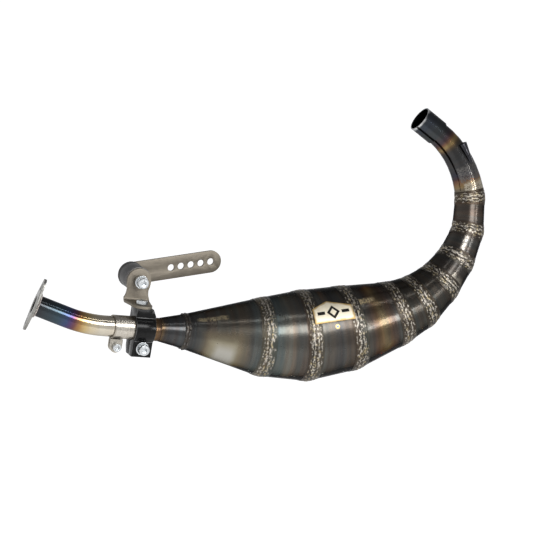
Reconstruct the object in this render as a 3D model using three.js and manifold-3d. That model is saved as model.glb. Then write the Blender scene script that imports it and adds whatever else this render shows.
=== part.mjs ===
// Racing exhaust for a small two-stroke engine: an expansion chamber welded up from
// short cones, a clamp-on rubber hanger and a bent outlet pipe with a bolt flange.
// Millimetres. X runs along the stinger towards the chamber, Z is up, and the origin
// is the centre of the inlet sleeve's mouth.

import * as THREE from "three";
import { mergeVertices } from "three/addons/utils/BufferGeometryUtils.js";
import Module from "manifold-3d";

const wasm = await Module();
wasm.setup();

// ---------------------------------------------------------------- driving dimensions

const gap = 0.3; // between pieces that touch
const runningClearance = 0.1; // radial, where a piece turns on a tube
const screwClearance = 0.35; // radial, around a screw's shank
const sheetWall = 1.2; // rolled cone sheet
const tubeWall = 1.5; // drawn tube
const roundSides = 32; // facets round a pipe

// Outlet pipe, and the stinger tube that it slips into
const outletDiameter = 25;
const outletInsertion = 34; // length of the pipe inside the stinger
const outletStraight = 10; // from the stinger's end to the bend
const outletBendRadius = 130;
const outletBendAngle = 20;
const outletBendClock = 43; // the bend's plane, turned from upright about the stinger
const outletBendSteps = 6;
const outletTail = 39; // from the bend to the flange

const stingerLength = 58.5;
const slitWidth = 3;
const slitLength = 24;

// Chamber, from the stinger up to the header: each cone's length along its axis, how far
// the axis rises from X and leans towards Y in degrees, and its far diameter
const chamberCones = [
  { name: "end_cone", length: 32, rise: 0, lean: 0, diameter: 42 },
  { name: "baffle_cone", length: 97, rise: 1, lean: -5, diameter: 96 },
  { name: "rear_belly", length: 57, rise: 7, lean: -6, diameter: 113 },
  { name: "front_belly", length: 59, rise: 15, lean: -5, diameter: 107 },
  { name: "diffuser_cone_4", length: 65, rise: 22, lean: -4, diameter: 83 },
  { name: "diffuser_cone_3", length: 35, rise: 30, lean: 0, diameter: 71 },
  { name: "diffuser_cone_2", length: 39, rise: 45, lean: 3, diameter: 57 },
  { name: "diffuser_cone_1", length: 37, rise: 57, lean: 6, diameter: 48 },
  { name: "header_cone_2", length: 40, rise: 71, lean: 9, diameter: 41 },
  { name: "header_cone_1", length: 42, rise: 91, lean: 12, diameter: 38 },
];
const headerBend = {
  length: 97,
  diameter: 30,
  startRise: 102,
  endRise: 151,
  startLean: 12,
  endLean: 8,
  steps: 8,
};
const inletSleeveLength = 30;
const inletSleeveWall = 1.3;
const inletOverlap = 8; // header inside the sleeve

// Weld beads, as wide dressed bands over the joints
const seamWidth = 13;
const seamCrown = 0.6;
const seamEdge = 0.15;
const rootSeamWidth = 7; // the bead at the small end of the baffle cone
const rootSeamCrown = 1.4;
const flangeWeldSize = 2.5;

// Badge plate on the front belly, and the spring pocket on the header
const badge = {
  width: 55,
  sideHeight: 19,
  peakHeight: 28,
  peakShift: -5,
  thickness: 0.8,
  clock: -44, // above the side that faces -Y
  share: 0.47, // along the front belly from its rear seam
};
const springPocket = {
  length: 27,
  width: 11,
  height: 4.5,
  wall: 1,
  taper: 0.45,
  clock: 26, // from the side that faces -Y to the outside of the bend
  fromSleeve: 27, // along the header from the inlet sleeve
};

// Billet clamp round the stinger
const clampWidth = 25;
const clampCentre = -21; // along the stinger from the end cone
const clampRingWall = 3.8;
const clampSlit = 3;
const clampEarThickness = 10.5;
const clampEarMargin = 11; // ears' bottom below the clamp screw
const clampEarChamfer = 9;
const washerClearance = 0.1; // between the ring and the clamp screw's washer
const lugHeight = 8; // above the ring
const lugFront = 10;
const lugRear = 13;
const lugBevel = 4;

// Hanger bracket, standing on the clamp's lug
const plateThickness = 3;
const hangerX = -25.5; // foot screw, along the stinger
const hangerY = 0;
const footRadius = 13;
const footReach = 20; // from the foot screw to the upright's front face
const bendWidth = 32;
const uprightWidth = 30;
const uprightWaist = 27;
const pivotHeight = 27.2; // pivot screw above the foot's underside
const bracketBendRadius = 3;

// Rubber mount and hole-strip arm
const rubberDiameter = 32;
const rubberLength = 28;
const mountDiscThickness = 1.6;
const armWidth = 28;
const armAngle = 13.2;
const armFirstHole = 53;
const armHolePitch = 13;
const armHoleCount = 5;
const armHoleDiameter = 8.5;
const armPivotBore = 8.7;

// Screws: shank, head and socket sizes
const m8 = { shank: 8, head: 13, headHeight: 8, socket: 6, socketDepth: 4 };
const m8Low = { shank: 8, head: 13, headHeight: 5, socket: 5, socketDepth: 2.5 };
const m6 = { shank: 6, head: 10, headHeight: 6, socket: 5, socketDepth: 3 };
const m8Washer = { outer: 16, thickness: 1.6 };
const m8Nut = { acrossFlats: 13, thickness: 6.5 };
const m6Nut = { acrossFlats: 10, thickness: 5 };

// Pinch ears under the stinger's slit end
const pinchEarLength = 15;
const pinchEarDrop = 16.5;
const pinchEarThickness = 3;
const pinchScrewDrop = 9; // screw below the ears' top edge

// Outlet flange
const flangeThickness = 3;
const flangeBoltSpacing = 46;
const flangeBoltHole = 8.5;
const flangeEndRadius = 10.5;
const flangeHubRadius = 19;
const flangeClock = -8; // long axis, turned from upright about the pipe

// ---------------------------------------------------------------- derived sizes

const stingerBore = outletDiameter + 2 * runningClearance;
const stingerDiameter = stingerBore + 2 * tubeWall;
const stingerRadius = stingerDiameter / 2;
const clampBoreRadius = stingerRadius + runningClearance;
const clampRingRadius = clampBoreRadius + clampRingWall;
const clampEarReach = clampSlit / 2 + clampEarThickness;
const clampBoltDrop = Math.sqrt(clampRingRadius ** 2 - clampEarReach ** 2)
  + m8Washer.outer / 2 + washerClearance;
const clampEarDrop = clampBoltDrop + clampEarMargin;
const lugTop = clampRingRadius + lugHeight;
const shankHole = (screw) => screw.shank / 2 + screwClearance;
const radians = THREE.MathUtils.degToRad;

// ---------------------------------------------------------------- materials

const finish = {
  chamber: { color: 0x3a3d40, roughness: 0.28, metalness: 0.9 },
  header: { color: 0x35322f, roughness: 0.25, metalness: 0.9 },
  baffle: { color: 0x6d675a, roughness: 0.3, metalness: 0.9 },
  weld: { color: 0xa59d8e, roughness: 0.5, metalness: 0.9 },
  brightSteel: { color: 0xb5b0a5, roughness: 0.28, metalness: 1 },
  outlet: { color: 0x9a8c74, roughness: 0.25, metalness: 1 },
  flange: { color: 0x8c8d8c, roughness: 0.45, metalness: 1 },
  badge: { color: 0xc9bd9c, roughness: 0.35, metalness: 0.9 },
  black: { color: 0x121213, roughness: 0.35, metalness: 0.6 },
  bracket: { color: 0x80766a, roughness: 0.45, metalness: 0.9 },
  rubber: { color: 0x1b1a1a, roughness: 0.8, metalness: 0 },
  zinc: { color: 0xc8ccd0, roughness: 0.3, metalness: 1 },
};

// ---------------------------------------------------------------- solids and cuts

const exhaust = new THREE.Group();

function addPiece(name, geometry, look, parent = exhaust) {
  const piece = new THREE.Mesh(geometry, new THREE.MeshStandardMaterial(finish[look]));
  piece.name = name;
  parent.add(piece);
  return piece;
}

function toSolid(geometry) {
  const bare = geometry.clone();
  bare.deleteAttribute("normal");
  bare.deleteAttribute("uv");
  const merged = mergeVertices(bare, 1e-4);
  return new wasm.Manifold(
    new wasm.Mesh({
      numProp: 3,
      vertProperties: merged.attributes.position.array,
      triVerts: new Uint32Array(merged.index.array),
    }),
  );
}

function toGeometry(solid) {
  const mesh = solid.getMesh();
  const geometry = new THREE.BufferGeometry();
  geometry.setAttribute("position", new THREE.BufferAttribute(mesh.vertProperties, 3));
  geometry.setIndex(new THREE.BufferAttribute(mesh.triVerts, 1));
  geometry.computeVertexNormals();
  return geometry;
}

// Cut every tool away from a body
function cut(body, ...tools) {
  return toGeometry(tools.reduce((rest, tool) => rest.subtract(toSolid(tool)), toSolid(body)));
}

// A solid turned about Z from [radius, height] points; the profile closes on itself
// or starts and ends on the axis
function turned(points, sides = roundSides) {
  const profile = points.map(([radius, height]) => new THREE.Vector2(radius, height));
  return new THREE.LatheGeometry(profile, sides).rotateX(Math.PI / 2);
}

function rod(radius, from, to, sides = 24) {
  return turned([[0, from], [radius, from], [radius, to], [0, to]], sides);
}

function ring(inner, outer, from, to, sides = roundSides) {
  const corners = [[inner, from], [outer, from], [outer, to], [inner, to], [inner, from]];
  return turned(corners, sides);
}

function hexPrism(acrossFlats, from, to) {
  return rod(acrossFlats / 2 / Math.cos(Math.PI / 6), from, to, 6);
}

function roundHole(x, y, radius) {
  return new THREE.Path().absarc(x, y, radius, 0, 2 * Math.PI, true);
}

function plate(shape, thickness, curveSegments = 12) {
  return new THREE.ExtrudeGeometry(shape, {
    depth: thickness,
    bevelEnabled: false,
    curveSegments,
  });
}

// Turn a geometry modelled along +Z so that it runs along -Y or +X
const alongMinusY = (geometry) => geometry.rotateX(Math.PI / 2);
const alongX = (geometry) => geometry.rotateY(Math.PI / 2);

// ---------------------------------------------------------------- fasteners

// Socket-head screw: head above z = 0, shank below it
function capScrew(size, length) {
  const chamfer = size.headHeight / 12;
  const head = size.head / 2;
  const shank = size.shank / 2;
  const body = turned([
    [0, -length],
    [shank - 0.6, -length],
    [shank, -length + 0.6],
    [shank, 0],
    [head, 0],
    [head, size.headHeight - chamfer],
    [head - chamfer, size.headHeight],
    [0, size.headHeight],
  ], 24);
  const top = size.headHeight;
  return cut(body, hexPrism(size.socket, top - size.socketDepth, top + 1));
}

function washer(size, screw) {
  return ring(shankHole(screw), size.outer / 2, 0, size.thickness, 24);
}

function hexNut(size, screw) {
  const bore = rod(shankHole(screw), -1, size.thickness + 1);
  return cut(hexPrism(size.acrossFlats, 0, size.thickness), bore);
}

// ---------------------------------------------------------------- pipe runs

function heading(rise, lean) {
  const r = radians(rise);
  const l = radians(lean);
  return new THREE.Vector3(
    Math.cos(l) * Math.cos(r),
    Math.sin(l),
    Math.cos(l) * Math.sin(r),
  );
}

// Stations where the legs of a pipe meet. Each holds the distance along the pipe, the
// centre, the radius and the two directions of the mitre plane.
function layRun(start, startDiameter, legs) {
  const centres = [start.clone()];
  const distances = [0];
  legs.forEach((leg, i) => {
    centres.push(centres[i].clone().addScaledVector(leg.direction, leg.length));
    distances.push(distances[i] + leg.length);
  });
  return centres.map((centre, i) => {
    const before = legs[Math.max(i - 1, 0)].direction;
    const after = legs[Math.min(i, legs.length - 1)].direction;
    const along = before.clone().add(after).normalize();
    const side = new THREE.Vector3(0, -1, 0);
    side.addScaledVector(along, -side.dot(along)).normalize();
    const outward = new THREE.Vector3().crossVectors(along, side);
    const diameter = i === 0 ? startDiameter : legs[i - 1].diameter;
    return { at: distances[i], centre, along, side, outward, radius: diameter / 2 };
  });
}

function legAt(run, at) {
  let leg = 0;
  while (leg < run.length - 2 && at > run[leg + 1].at) leg += 1;
  return { from: run[leg], to: run[leg + 1], t: (at - run[leg].at) / (run[leg + 1].at - run[leg].at) };
}

function radiusAt(run, at) {
  const { from, to, t } = legAt(run, at);
  return THREE.MathUtils.lerp(from.radius, to.radius, t);
}

// A point off the pipe's skin: clock is the angle from the side that faces -Y
function pointOff(run, at, clock, offset) {
  const { from, to, t } = legAt(run, at);
  const rim = (station) => station.centre.clone()
    .addScaledVector(station.side, Math.cos(clock) * (station.radius + offset))
    .addScaledVector(station.outward, Math.sin(clock) * (station.radius + offset));
  return rim(from).lerp(rim(to), t);
}

// Turn a profile of [distance, offset from the skin] points about the straightened
// pipe, then bend it onto the run
function wrapped(run, profile, sides = roundSides) {
  const straight = profile.map(([at, offset]) => (
    new THREE.Vector2(radiusAt(run, at) + offset, at)
  ));
  const geometry = new THREE.LatheGeometry(straight, sides);
  const position = geometry.getAttribute("position");
  for (let i = 0; i < position.count; i += 1) {
    const at = position.getY(i);
    const offset = Math.hypot(position.getX(i), position.getZ(i)) - radiusAt(run, at);
    const clock = Math.atan2(position.getX(i), position.getZ(i));
    const point = pointOff(run, at, clock, offset);
    position.setXYZ(i, point.x, point.y, point.z);
  }
  return geometry;
}

// Closed profile of a sheet between two distances, with a ring at every station
function sheetProfile(run, from, to, outer, inner) {
  const stops = [from, ...run.map((s) => s.at).filter((at) => at > from && at < to), to];
  const outside = stops.map((at) => [at, outer]);
  const inside = stops.map((at) => [at, inner]).reverse();
  return [...outside, ...inside, outside[0]];
}

// Lens-shaped bead over the joint at one station
function beadProfile(at, width, crown) {
  const top = [-1, 0, 1].map((x) => [
    at + (x * width) / 2,
    gap + seamEdge + crown * (1 - x * x),
  ]);
  const bottom = [1, 0, -1].map((x) => [at + (x * width) / 2, gap]);
  return [...top, ...bottom, top[0]];
}

// ---------------------------------------------------------------- chamber

function headerBendLegs() {
  const start = chamberCones[chamberCones.length - 1].diameter;
  return Array.from({ length: headerBend.steps }, (_, i) => {
    const middle = (i + 0.5) / headerBend.steps;
    const end = (i + 1) / headerBend.steps;
    return {
      length: headerBend.length / headerBend.steps,
      direction: heading(
        THREE.MathUtils.lerp(headerBend.startRise, headerBend.endRise, middle),
        THREE.MathUtils.lerp(headerBend.startLean, headerBend.endLean, middle),
      ),
      diameter: THREE.MathUtils.lerp(start, headerBend.diameter, end),
    };
  });
}

const coneLegs = chamberCones.map((cone) => ({
  length: cone.length,
  direction: heading(cone.rise, cone.lean),
  diameter: cone.diameter,
}));
const sleeveLeg = {
  length: inletSleeveLength,
  direction: heading(headerBend.endRise, headerBend.endLean),
  diameter: headerBend.diameter,
};
const chamberRun = layRun(new THREE.Vector3(), stingerDiameter, [
  ...coneLegs,
  ...headerBendLegs(),
  sleeveLeg,
]);
const seamStations = chamberRun.slice(1, chamberCones.length + 1);
const sleeveStart = chamberRun[chamberRun.length - 2].at;
const mouthStation = chamberRun[chamberRun.length - 1];

function buildCones() {
  chamberCones.forEach((cone, i) => {
    const from = chamberRun[i].at + gap / 2;
    const to = chamberRun[i + 1].at - gap / 2;
    const look = cone.name === "baffle_cone" ? "baffle" : "chamber";
    const sheet = sheetProfile(chamberRun, from, to, 0, -sheetWall);
    addPiece(cone.name, wrapped(chamberRun, sheet), look);
  });
}

function buildHeaderBend() {
  const from = chamberRun[chamberCones.length].at + gap / 2;
  const to = sleeveStart + inletOverlap;
  const sheet = sheetProfile(chamberRun, from, to, 0, -sheetWall);
  addPiece("header_bend", wrapped(chamberRun, sheet), "header");
}

function buildInletSleeve() {
  const sheet = sheetProfile(
    chamberRun,
    sleeveStart,
    mouthStation.at,
    gap + inletSleeveWall,
    gap,
  );
  addPiece("inlet_sleeve", wrapped(chamberRun, sheet), "header");
}

// The first seam is the heavier bead where the baffle cone meets the end cone
function buildSeams() {
  seamStations.forEach((station, i) => {
    const width = i === 0 ? rootSeamWidth : seamWidth;
    const crown = i === 0 ? rootSeamCrown : seamCrown;
    const bead = wrapped(chamberRun, beadProfile(station.at, width, crown));
    addPiece(`weld_seam_${i + 1}`, bead, "weld");
  });
}

// Place a geometry modelled on the XY plane, facing +Z, on the skin: X runs along the
// pipe and Z points away from it
function placeOnSkin(geometry, at, clock) {
  const { from, to, t } = legAt(chamberRun, at);
  const along = to.centre.clone().sub(from.centre).normalize();
  const away = from.side.clone().lerp(to.side, t).multiplyScalar(Math.cos(clock))
    .addScaledVector(from.outward.clone().lerp(to.outward, t), Math.sin(clock));
  away.addScaledVector(along, -away.dot(along)).normalize();
  const across = new THREE.Vector3().crossVectors(away, along);
  const frame = new THREE.Matrix4().makeBasis(along, across, away);
  frame.setPosition(pointOff(chamberRun, at, clock, 0));
  return geometry.applyMatrix4(frame);
}

// Gabled plate that follows the belly's curve
function buildBadge() {
  const half = badge.width / 2;
  const low = -badge.peakHeight / 2;
  const shape = new THREE.Shape();
  shape.moveTo(-half, low);
  shape.lineTo(half, low);
  shape.lineTo(half, low + badge.sideHeight);
  shape.lineTo(badge.peakShift, low + badge.peakHeight);
  shape.lineTo(-half, low + badge.sideHeight);
  shape.closePath();
  const [, , beforeBelly, afterBelly, beyondBelly] = chamberRun;
  const at = THREE.MathUtils.lerp(afterBelly.at, beyondBelly.at, badge.share);
  const depth = badge.peakHeight;
  const prism = plate(shape, depth).translate(0, 0, -depth / 2);
  const skin = sheetProfile(
    chamberRun,
    beforeBelly.at,
    beyondBelly.at + half,
    2 * gap + seamEdge + seamCrown + badge.thickness,
    2 * gap + seamEdge + seamCrown,
  );
  const curved = toSolid(wrapped(chamberRun, skin, 2 * roundSides));
  const blank = toSolid(placeOnSkin(prism, at, radians(badge.clock)));
  addPiece("badge_plate", toGeometry(curved.intersect(blank)), "badge");
}

// Half-round pocket that holds the end of a tension spring, open towards the sleeve
function buildSpringPocket() {
  const { length, width, height, wall, taper } = springPocket;
  const arch = (halfWidth, top) => {
    const shape = new THREE.Shape();
    shape.moveTo(-halfWidth, -height);
    shape.lineTo(halfWidth, -height);
    shape.lineTo(halfWidth, 0);
    shape.absellipse(0, 0, halfWidth, top, 0, Math.PI);
    shape.closePath();
    return shape;
  };
  const narrowed = (geometry) => {
    const position = geometry.getAttribute("position");
    for (let i = 0; i < position.count; i += 1) {
      const scale = 1 - (1 - taper) * (1 - position.getZ(i) / length);
      position.setXY(i, position.getX(i) * scale, position.getY(i) * scale);
    }
    return geometry;
  };
  const outer = narrowed(plate(arch(width / 2, height), length, 8));
  const inner = narrowed(plate(arch(width / 2 - wall, height - wall), length + 2, 8));
  const standUp = (geometry) => geometry.rotateX(Math.PI / 2).rotateZ(Math.PI / 2);
  const at = sleeveStart - springPocket.fromSleeve - length;
  const clock = radians(springPocket.clock);
  const shell = placeOnSkin(standUp(outer), at, clock);
  const hollow = placeOnSkin(standUp(inner).translate(wall, 0, 0), at, clock);
  const near = chamberRun.filter((s) => s.at > at - 2 * length && s.at < at + 2 * length);
  const core = near.map((station) => [station.at, gap]);
  const header = wrapped(chamberRun, [
    [near[0].at, -near[0].radius],
    ...core,
    [near[near.length - 1].at, -near[near.length - 1].radius],
  ]);
  addPiece("spring_pocket", cut(shell, hollow, header), "header");
}

// ---------------------------------------------------------------- stinger tube

function pinchScrewPlace() {
  return {
    x: -stingerLength + pinchEarLength / 2,
    z: -(stingerRadius + gap + pinchScrewDrop),
  };
}

function buildStinger() {
  const tube = alongX(ring(stingerBore / 2, stingerRadius, -stingerLength, -gap / 2));
  const slit = new THREE.BoxGeometry(slitLength + 2, slitWidth, stingerDiameter);
  slit.translate(-stingerLength - 1 + slitLength / 2, 0, -stingerRadius);
  addPiece("stinger_tube", cut(tube, slit), "brightSteel");
}

function pinchEar() {
  const half = pinchEarLength / 2;
  const screw = pinchScrewPlace();
  const top = -(stingerRadius + gap);
  const shape = new THREE.Shape();
  shape.moveTo(screw.x - half, top);
  shape.lineTo(screw.x - half, top - pinchEarDrop + half);
  shape.absarc(screw.x, top - pinchEarDrop + half, half, Math.PI, 2 * Math.PI);
  shape.lineTo(screw.x + half, top);
  shape.closePath();
  shape.holes.push(roundHole(screw.x, screw.z, shankHole(m6)));
  return alongMinusY(plate(shape, pinchEarThickness));
}

function buildPinch() {
  const screw = pinchScrewPlace();
  const front = -slitWidth / 2;
  const rear = slitWidth / 2 + pinchEarThickness;
  addPiece("pinch_ear_front", pinchEar(), "brightSteel").position.y = front;
  addPiece("pinch_ear_rear", pinchEar(), "brightSteel").position.y = rear;
  const headSeat = front - pinchEarThickness - gap;
  const nutSeat = rear + gap;
  const length = nutSeat - headSeat + m6Nut.thickness + 1;
  const bolt = addPiece("pinch_screw", alongMinusY(capScrew(m6, length)), "zinc");
  bolt.position.set(screw.x, headSeat, screw.z);
  const nut = addPiece("pinch_nut", alongMinusY(hexNut(m6Nut, m6)), "zinc");
  nut.position.set(screw.x, nutSeat + m6Nut.thickness, screw.z);
}

// ---------------------------------------------------------------- outlet pipe

function outletRun() {
  const legs = [{
    length: outletInsertion + outletStraight,
    direction: new THREE.Vector3(-1, 0, 0),
    diameter: outletDiameter,
  }];
  const clock = radians(outletBendClock);
  const bendSide = new THREE.Vector3(0, Math.sin(clock), Math.cos(clock));
  for (let i = 0; i < outletBendSteps; i += 1) {
    const turn = radians(outletBendAngle * (i + 0.5)) / outletBendSteps;
    const direction = new THREE.Vector3(-Math.cos(turn), 0, 0);
    direction.addScaledVector(bendSide, Math.sin(turn));
    const arc = (outletBendRadius * radians(outletBendAngle)) / outletBendSteps;
    legs.push({ length: arc, direction, diameter: outletDiameter });
  }
  const turn = radians(outletBendAngle);
  const tail = new THREE.Vector3(-Math.cos(turn), 0, 0).addScaledVector(bendSide, Math.sin(turn));
  legs.push({ length: outletTail, direction: tail, diameter: outletDiameter });
  const start = new THREE.Vector3(-stingerLength + outletInsertion, 0, 0);
  return layRun(start, outletDiameter, legs);
}

function flangeShape() {
  const half = flangeBoltSpacing / 2;
  const tilt = Math.acos((flangeHubRadius - flangeEndRadius) / half);
  const shape = new THREE.Shape();
  shape.absarc(0, half, flangeEndRadius, Math.PI / 2 - tilt, Math.PI / 2 + tilt);
  shape.absarc(0, 0, flangeHubRadius, Math.PI / 2 + tilt, (3 * Math.PI) / 2 - tilt);
  shape.absarc(0, -half, flangeEndRadius, (3 * Math.PI) / 2 - tilt, (3 * Math.PI) / 2 + tilt);
  shape.absarc(0, 0, flangeHubRadius, (3 * Math.PI) / 2 + tilt, (5 * Math.PI) / 2 - tilt);
  shape.holes.push(roundHole(0, 0, outletDiameter / 2 - tubeWall));
  shape.holes.push(roundHole(0, half, flangeBoltHole / 2));
  shape.holes.push(roundHole(0, -half, flangeBoltHole / 2));
  return shape;
}

function buildOutlet() {
  const run = outletRun();
  const end = run[run.length - 1];
  addPiece("outlet_pipe", wrapped(run, sheetProfile(run, 0, end.at, 0, -tubeWall)), "outlet");
  const bead = [
    [end.at - flangeWeldSize, gap],
    [end.at, gap],
    [end.at, gap + flangeWeldSize],
    [end.at - flangeWeldSize * 0.5, gap + flangeWeldSize * 0.75],
    [end.at - flangeWeldSize, gap],
  ];
  addPiece("flange_weld", wrapped(run, bead.reverse()), "weld");
  const flange = plate(flangeShape(), flangeThickness);
  const upright = new THREE.Vector3(0, 0, 1);
  upright.addScaledVector(end.along, -end.along.z).normalize();
  upright.applyAxisAngle(end.along, radians(flangeClock));
  const across = new THREE.Vector3().crossVectors(upright, end.along);
  const frame = new THREE.Matrix4().makeBasis(across, upright, end.along);
  frame.setPosition(end.centre.clone().addScaledVector(end.along, gap));
  addPiece("outlet_flange", flange.applyMatrix4(frame), "flange");
}

// ---------------------------------------------------------------- clamp

// Side outline of the clamp in the YZ plane: lug on top, ring, and two ears with a slit
function clampOutline() {
  const ringR = clampRingRadius;
  const bore = clampBoreRadius;
  const slit = clampSlit / 2;
  const ear = clampEarReach;
  const angle = (y, radius, sign) => Math.atan2(sign * Math.sqrt(radius ** 2 - y ** 2), y);
  const shape = new THREE.Shape();
  shape.moveTo(-lugFront, lugTop);
  shape.lineTo(-lugFront, Math.sqrt(ringR ** 2 - lugFront ** 2));
  shape.absarc(0, 0, ringR, angle(-lugFront, ringR, 1), angle(-ear, ringR, -1) + 2 * Math.PI);
  shape.lineTo(-ear, -clampEarDrop);
  shape.lineTo(-slit, -clampEarDrop);
  shape.absarc(0, 0, bore, angle(-slit, bore, -1), angle(slit, bore, -1) - 2 * Math.PI, true);
  shape.lineTo(slit, -clampEarDrop);
  shape.lineTo(ear - clampEarChamfer / 2, -clampEarDrop);
  shape.lineTo(ear, -clampEarDrop + clampEarChamfer);
  shape.absarc(0, 0, ringR, angle(ear, ringR, -1), angle(lugRear, ringR, 1));
  shape.lineTo(lugRear, lugTop);
  shape.closePath();
  return shape;
}

// Front outline in the XZ plane, with the lug's corner bevelled on the chamber side
function clampFrontOutline() {
  const left = clampCentre - clampWidth / 2;
  const right = clampCentre + clampWidth / 2;
  const shape = new THREE.Shape();
  shape.moveTo(left, -clampEarDrop - 1);
  shape.lineTo(right, -clampEarDrop - 1);
  shape.lineTo(right, lugTop - 2 * lugBevel);
  shape.lineTo(right - lugBevel, lugTop);
  shape.lineTo(right - lugBevel, lugTop + 1);
  shape.lineTo(left, lugTop + 1);
  shape.closePath();
  return shape;
}

function buildClamp() {
  // The extruded outline lies in XY, so it is stood up with X to Y, Y to Z and Z to X
  const side = plate(clampOutline(), clampWidth + 2, 24);
  side.applyMatrix4(new THREE.Matrix4().set(
    0, 0, 1, clampCentre - clampWidth / 2 - 1,
    1, 0, 0, 0,
    0, 1, 0, 0,
    0, 0, 0, 1,
  ));
  const reach = 2 * (clampRingRadius + lugRear);
  const front = alongMinusY(plate(clampFrontOutline(), reach)).translate(0, reach / 2, 0);
  const boltHole = alongMinusY(rod(shankHole(m8), -reach, reach));
  boltHole.translate(clampCentre, 0, -clampBoltDrop);
  const footHole = rod(shankHole(m8Low), clampBoreRadius - 2, lugTop + 1);
  footHole.translate(hangerX, hangerY, 0);
  const blank = toGeometry(toSolid(side).intersect(toSolid(front)));
  addPiece("clamp_block", cut(blank, boltHole, footHole), "black");

  const washerSeat = -clampEarReach - gap;
  const headSeat = washerSeat - m8Washer.thickness - gap;
  const ring8 = addPiece("clamp_washer", alongMinusY(washer(m8Washer, m8)), "zinc");
  ring8.position.set(clampCentre, washerSeat, -clampBoltDrop);
  const bolt = addPiece("clamp_screw", alongMinusY(capScrew(m8, clampEarReach - headSeat + 2)), "zinc");
  bolt.position.set(clampCentre, headSeat, -clampBoltDrop);
}

// ---------------------------------------------------------------- hanger bracket

const footUnderside = lugTop + gap;
const footTop = footUnderside + plateThickness;
const uprightFront = hangerY + footReach;
const uprightRear = uprightFront + plateThickness;
const pivotZ = footUnderside + pivotHeight;

// Foot: a round-ended tongue that widens to the bend line
function footShape() {
  const bendStart = uprightFront - bracketBendRadius;
  const spread = bendWidth / 2;
  const reach = bendStart - hangerY;
  const lean = Math.asin((spread - footRadius) / Math.hypot(reach, spread));
  const shape = new THREE.Shape();
  shape.moveTo(hangerX + spread, bendStart);
  shape.lineTo(hangerX - spread, bendStart);
  shape.absarc(hangerX, hangerY, footRadius, Math.PI - lean, 2 * Math.PI + lean);
  shape.closePath();
  shape.holes.push(roundHole(hangerX, hangerY, shankHole(m8Low)));
  return shape;
}

// Upright: rounded top round the pivot, a slight waist, and the flare at the bend
function uprightShape() {
  const spread = bendWidth / 2;
  const top = uprightWidth / 2;
  const waist = uprightWaist / 2;
  const bendEnd = footTop + bracketBendRadius;
  const middle = (bendEnd + pivotZ) / 2;
  const shape = new THREE.Shape();
  shape.moveTo(hangerX - spread, bendEnd);
  shape.lineTo(hangerX + spread, bendEnd);
  shape.quadraticCurveTo(hangerX + waist, bendEnd + bracketBendRadius, hangerX + waist, middle);
  shape.quadraticCurveTo(hangerX + top, middle + bracketBendRadius, hangerX + top, pivotZ);
  shape.absarc(hangerX, pivotZ, top, 0, Math.PI);
  shape.quadraticCurveTo(hangerX - top, middle + bracketBendRadius, hangerX - waist, middle);
  shape.quadraticCurveTo(hangerX - waist, bendEnd + bracketBendRadius, hangerX - spread, bendEnd);
  shape.holes.push(roundHole(hangerX, pivotZ, shankHole(m8)));
  return shape;
}

// The quarter bend between foot and upright, as an outline in the YZ plane
function bracketBendShape() {
  const inner = bracketBendRadius;
  const outer = inner + plateThickness;
  const overlap = 0.01;
  const centreY = uprightFront - inner;
  const centreZ = footTop + inner;
  const shape = new THREE.Shape();
  shape.moveTo(centreY - overlap, centreZ - outer);
  shape.absarc(centreY, centreZ, outer, -Math.PI / 2, 0);
  shape.lineTo(centreY + outer, centreZ + overlap);
  shape.lineTo(centreY + inner, centreZ + overlap);
  shape.absarc(centreY, centreZ, inner, 0, -Math.PI / 2, true);
  shape.lineTo(centreY - overlap, centreZ - inner);
  shape.closePath();
  return shape;
}

function buildHanger() {
  const foot = toSolid(plate(footShape(), plateThickness).translate(0, 0, footUnderside));
  const upright = toSolid(
    alongMinusY(plate(uprightShape(), plateThickness)).translate(0, uprightRear, 0),
  );
  const bend = plate(bracketBendShape(), bendWidth, 6);
  bend.applyMatrix4(new THREE.Matrix4().set(
    0, 0, 1, hangerX - bendWidth / 2,
    1, 0, 0, 0,
    0, 1, 0, 0,
    0, 0, 0, 1,
  ));
  const bracket = toGeometry(foot.add(upright).add(toSolid(bend)));
  addPiece("hanger_bracket", bracket, "bracket");

  const footScrew = addPiece("foot_screw", capScrew(m8Low, footTop - clampBoreRadius - 4), "zinc");
  footScrew.position.set(hangerX, hangerY, footTop + gap);

  // Screw, washer and lock nut in front of the upright
  const nutSeat = uprightFront - gap;
  const nut = addPiece("pivot_nut", alongMinusY(hexNut(m8Nut, m8)), "zinc");
  nut.position.set(hangerX, nutSeat, pivotZ);
  const washerSeat = nutSeat - m8Nut.thickness - gap;
  const spacer = addPiece("pivot_washer", alongMinusY(washer(m8Washer, m8)), "zinc");
  spacer.position.set(hangerX, washerSeat, pivotZ);
  const headSeat = washerSeat - m8Washer.thickness - gap;
  const length = uprightRear + 2 * gap + rubberLength / 2 - headSeat;
  const bolt = addPiece("pivot_screw", alongMinusY(capScrew(m8, length)), "zinc");
  bolt.position.set(hangerX, headSeat, pivotZ);
}

// ---------------------------------------------------------------- rubber mount and arm

const frontDisc = uprightRear + gap;
const rubberFront = frontDisc + mountDiscThickness + gap;
const rubberRear = rubberFront + rubberLength;
const rearDisc = rubberRear + gap;
const armFront = rearDisc + mountDiscThickness + gap;

function armShape() {
  const half = armWidth / 2;
  const last = armFirstHole + armHolePitch * (armHoleCount - 1);
  const shape = new THREE.Shape();
  shape.absarc(0, 0, half, Math.PI / 2, (3 * Math.PI) / 2);
  shape.absarc(last, 0, half, -Math.PI / 2, Math.PI / 2);
  shape.closePath();
  shape.holes.push(roundHole(0, 0, armPivotBore / 2));
  for (let i = 0; i < armHoleCount; i += 1) {
    shape.holes.push(roundHole(armFirstHole + i * armHolePitch, 0, armHoleDiameter / 2));
  }
  return shape;
}

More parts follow.
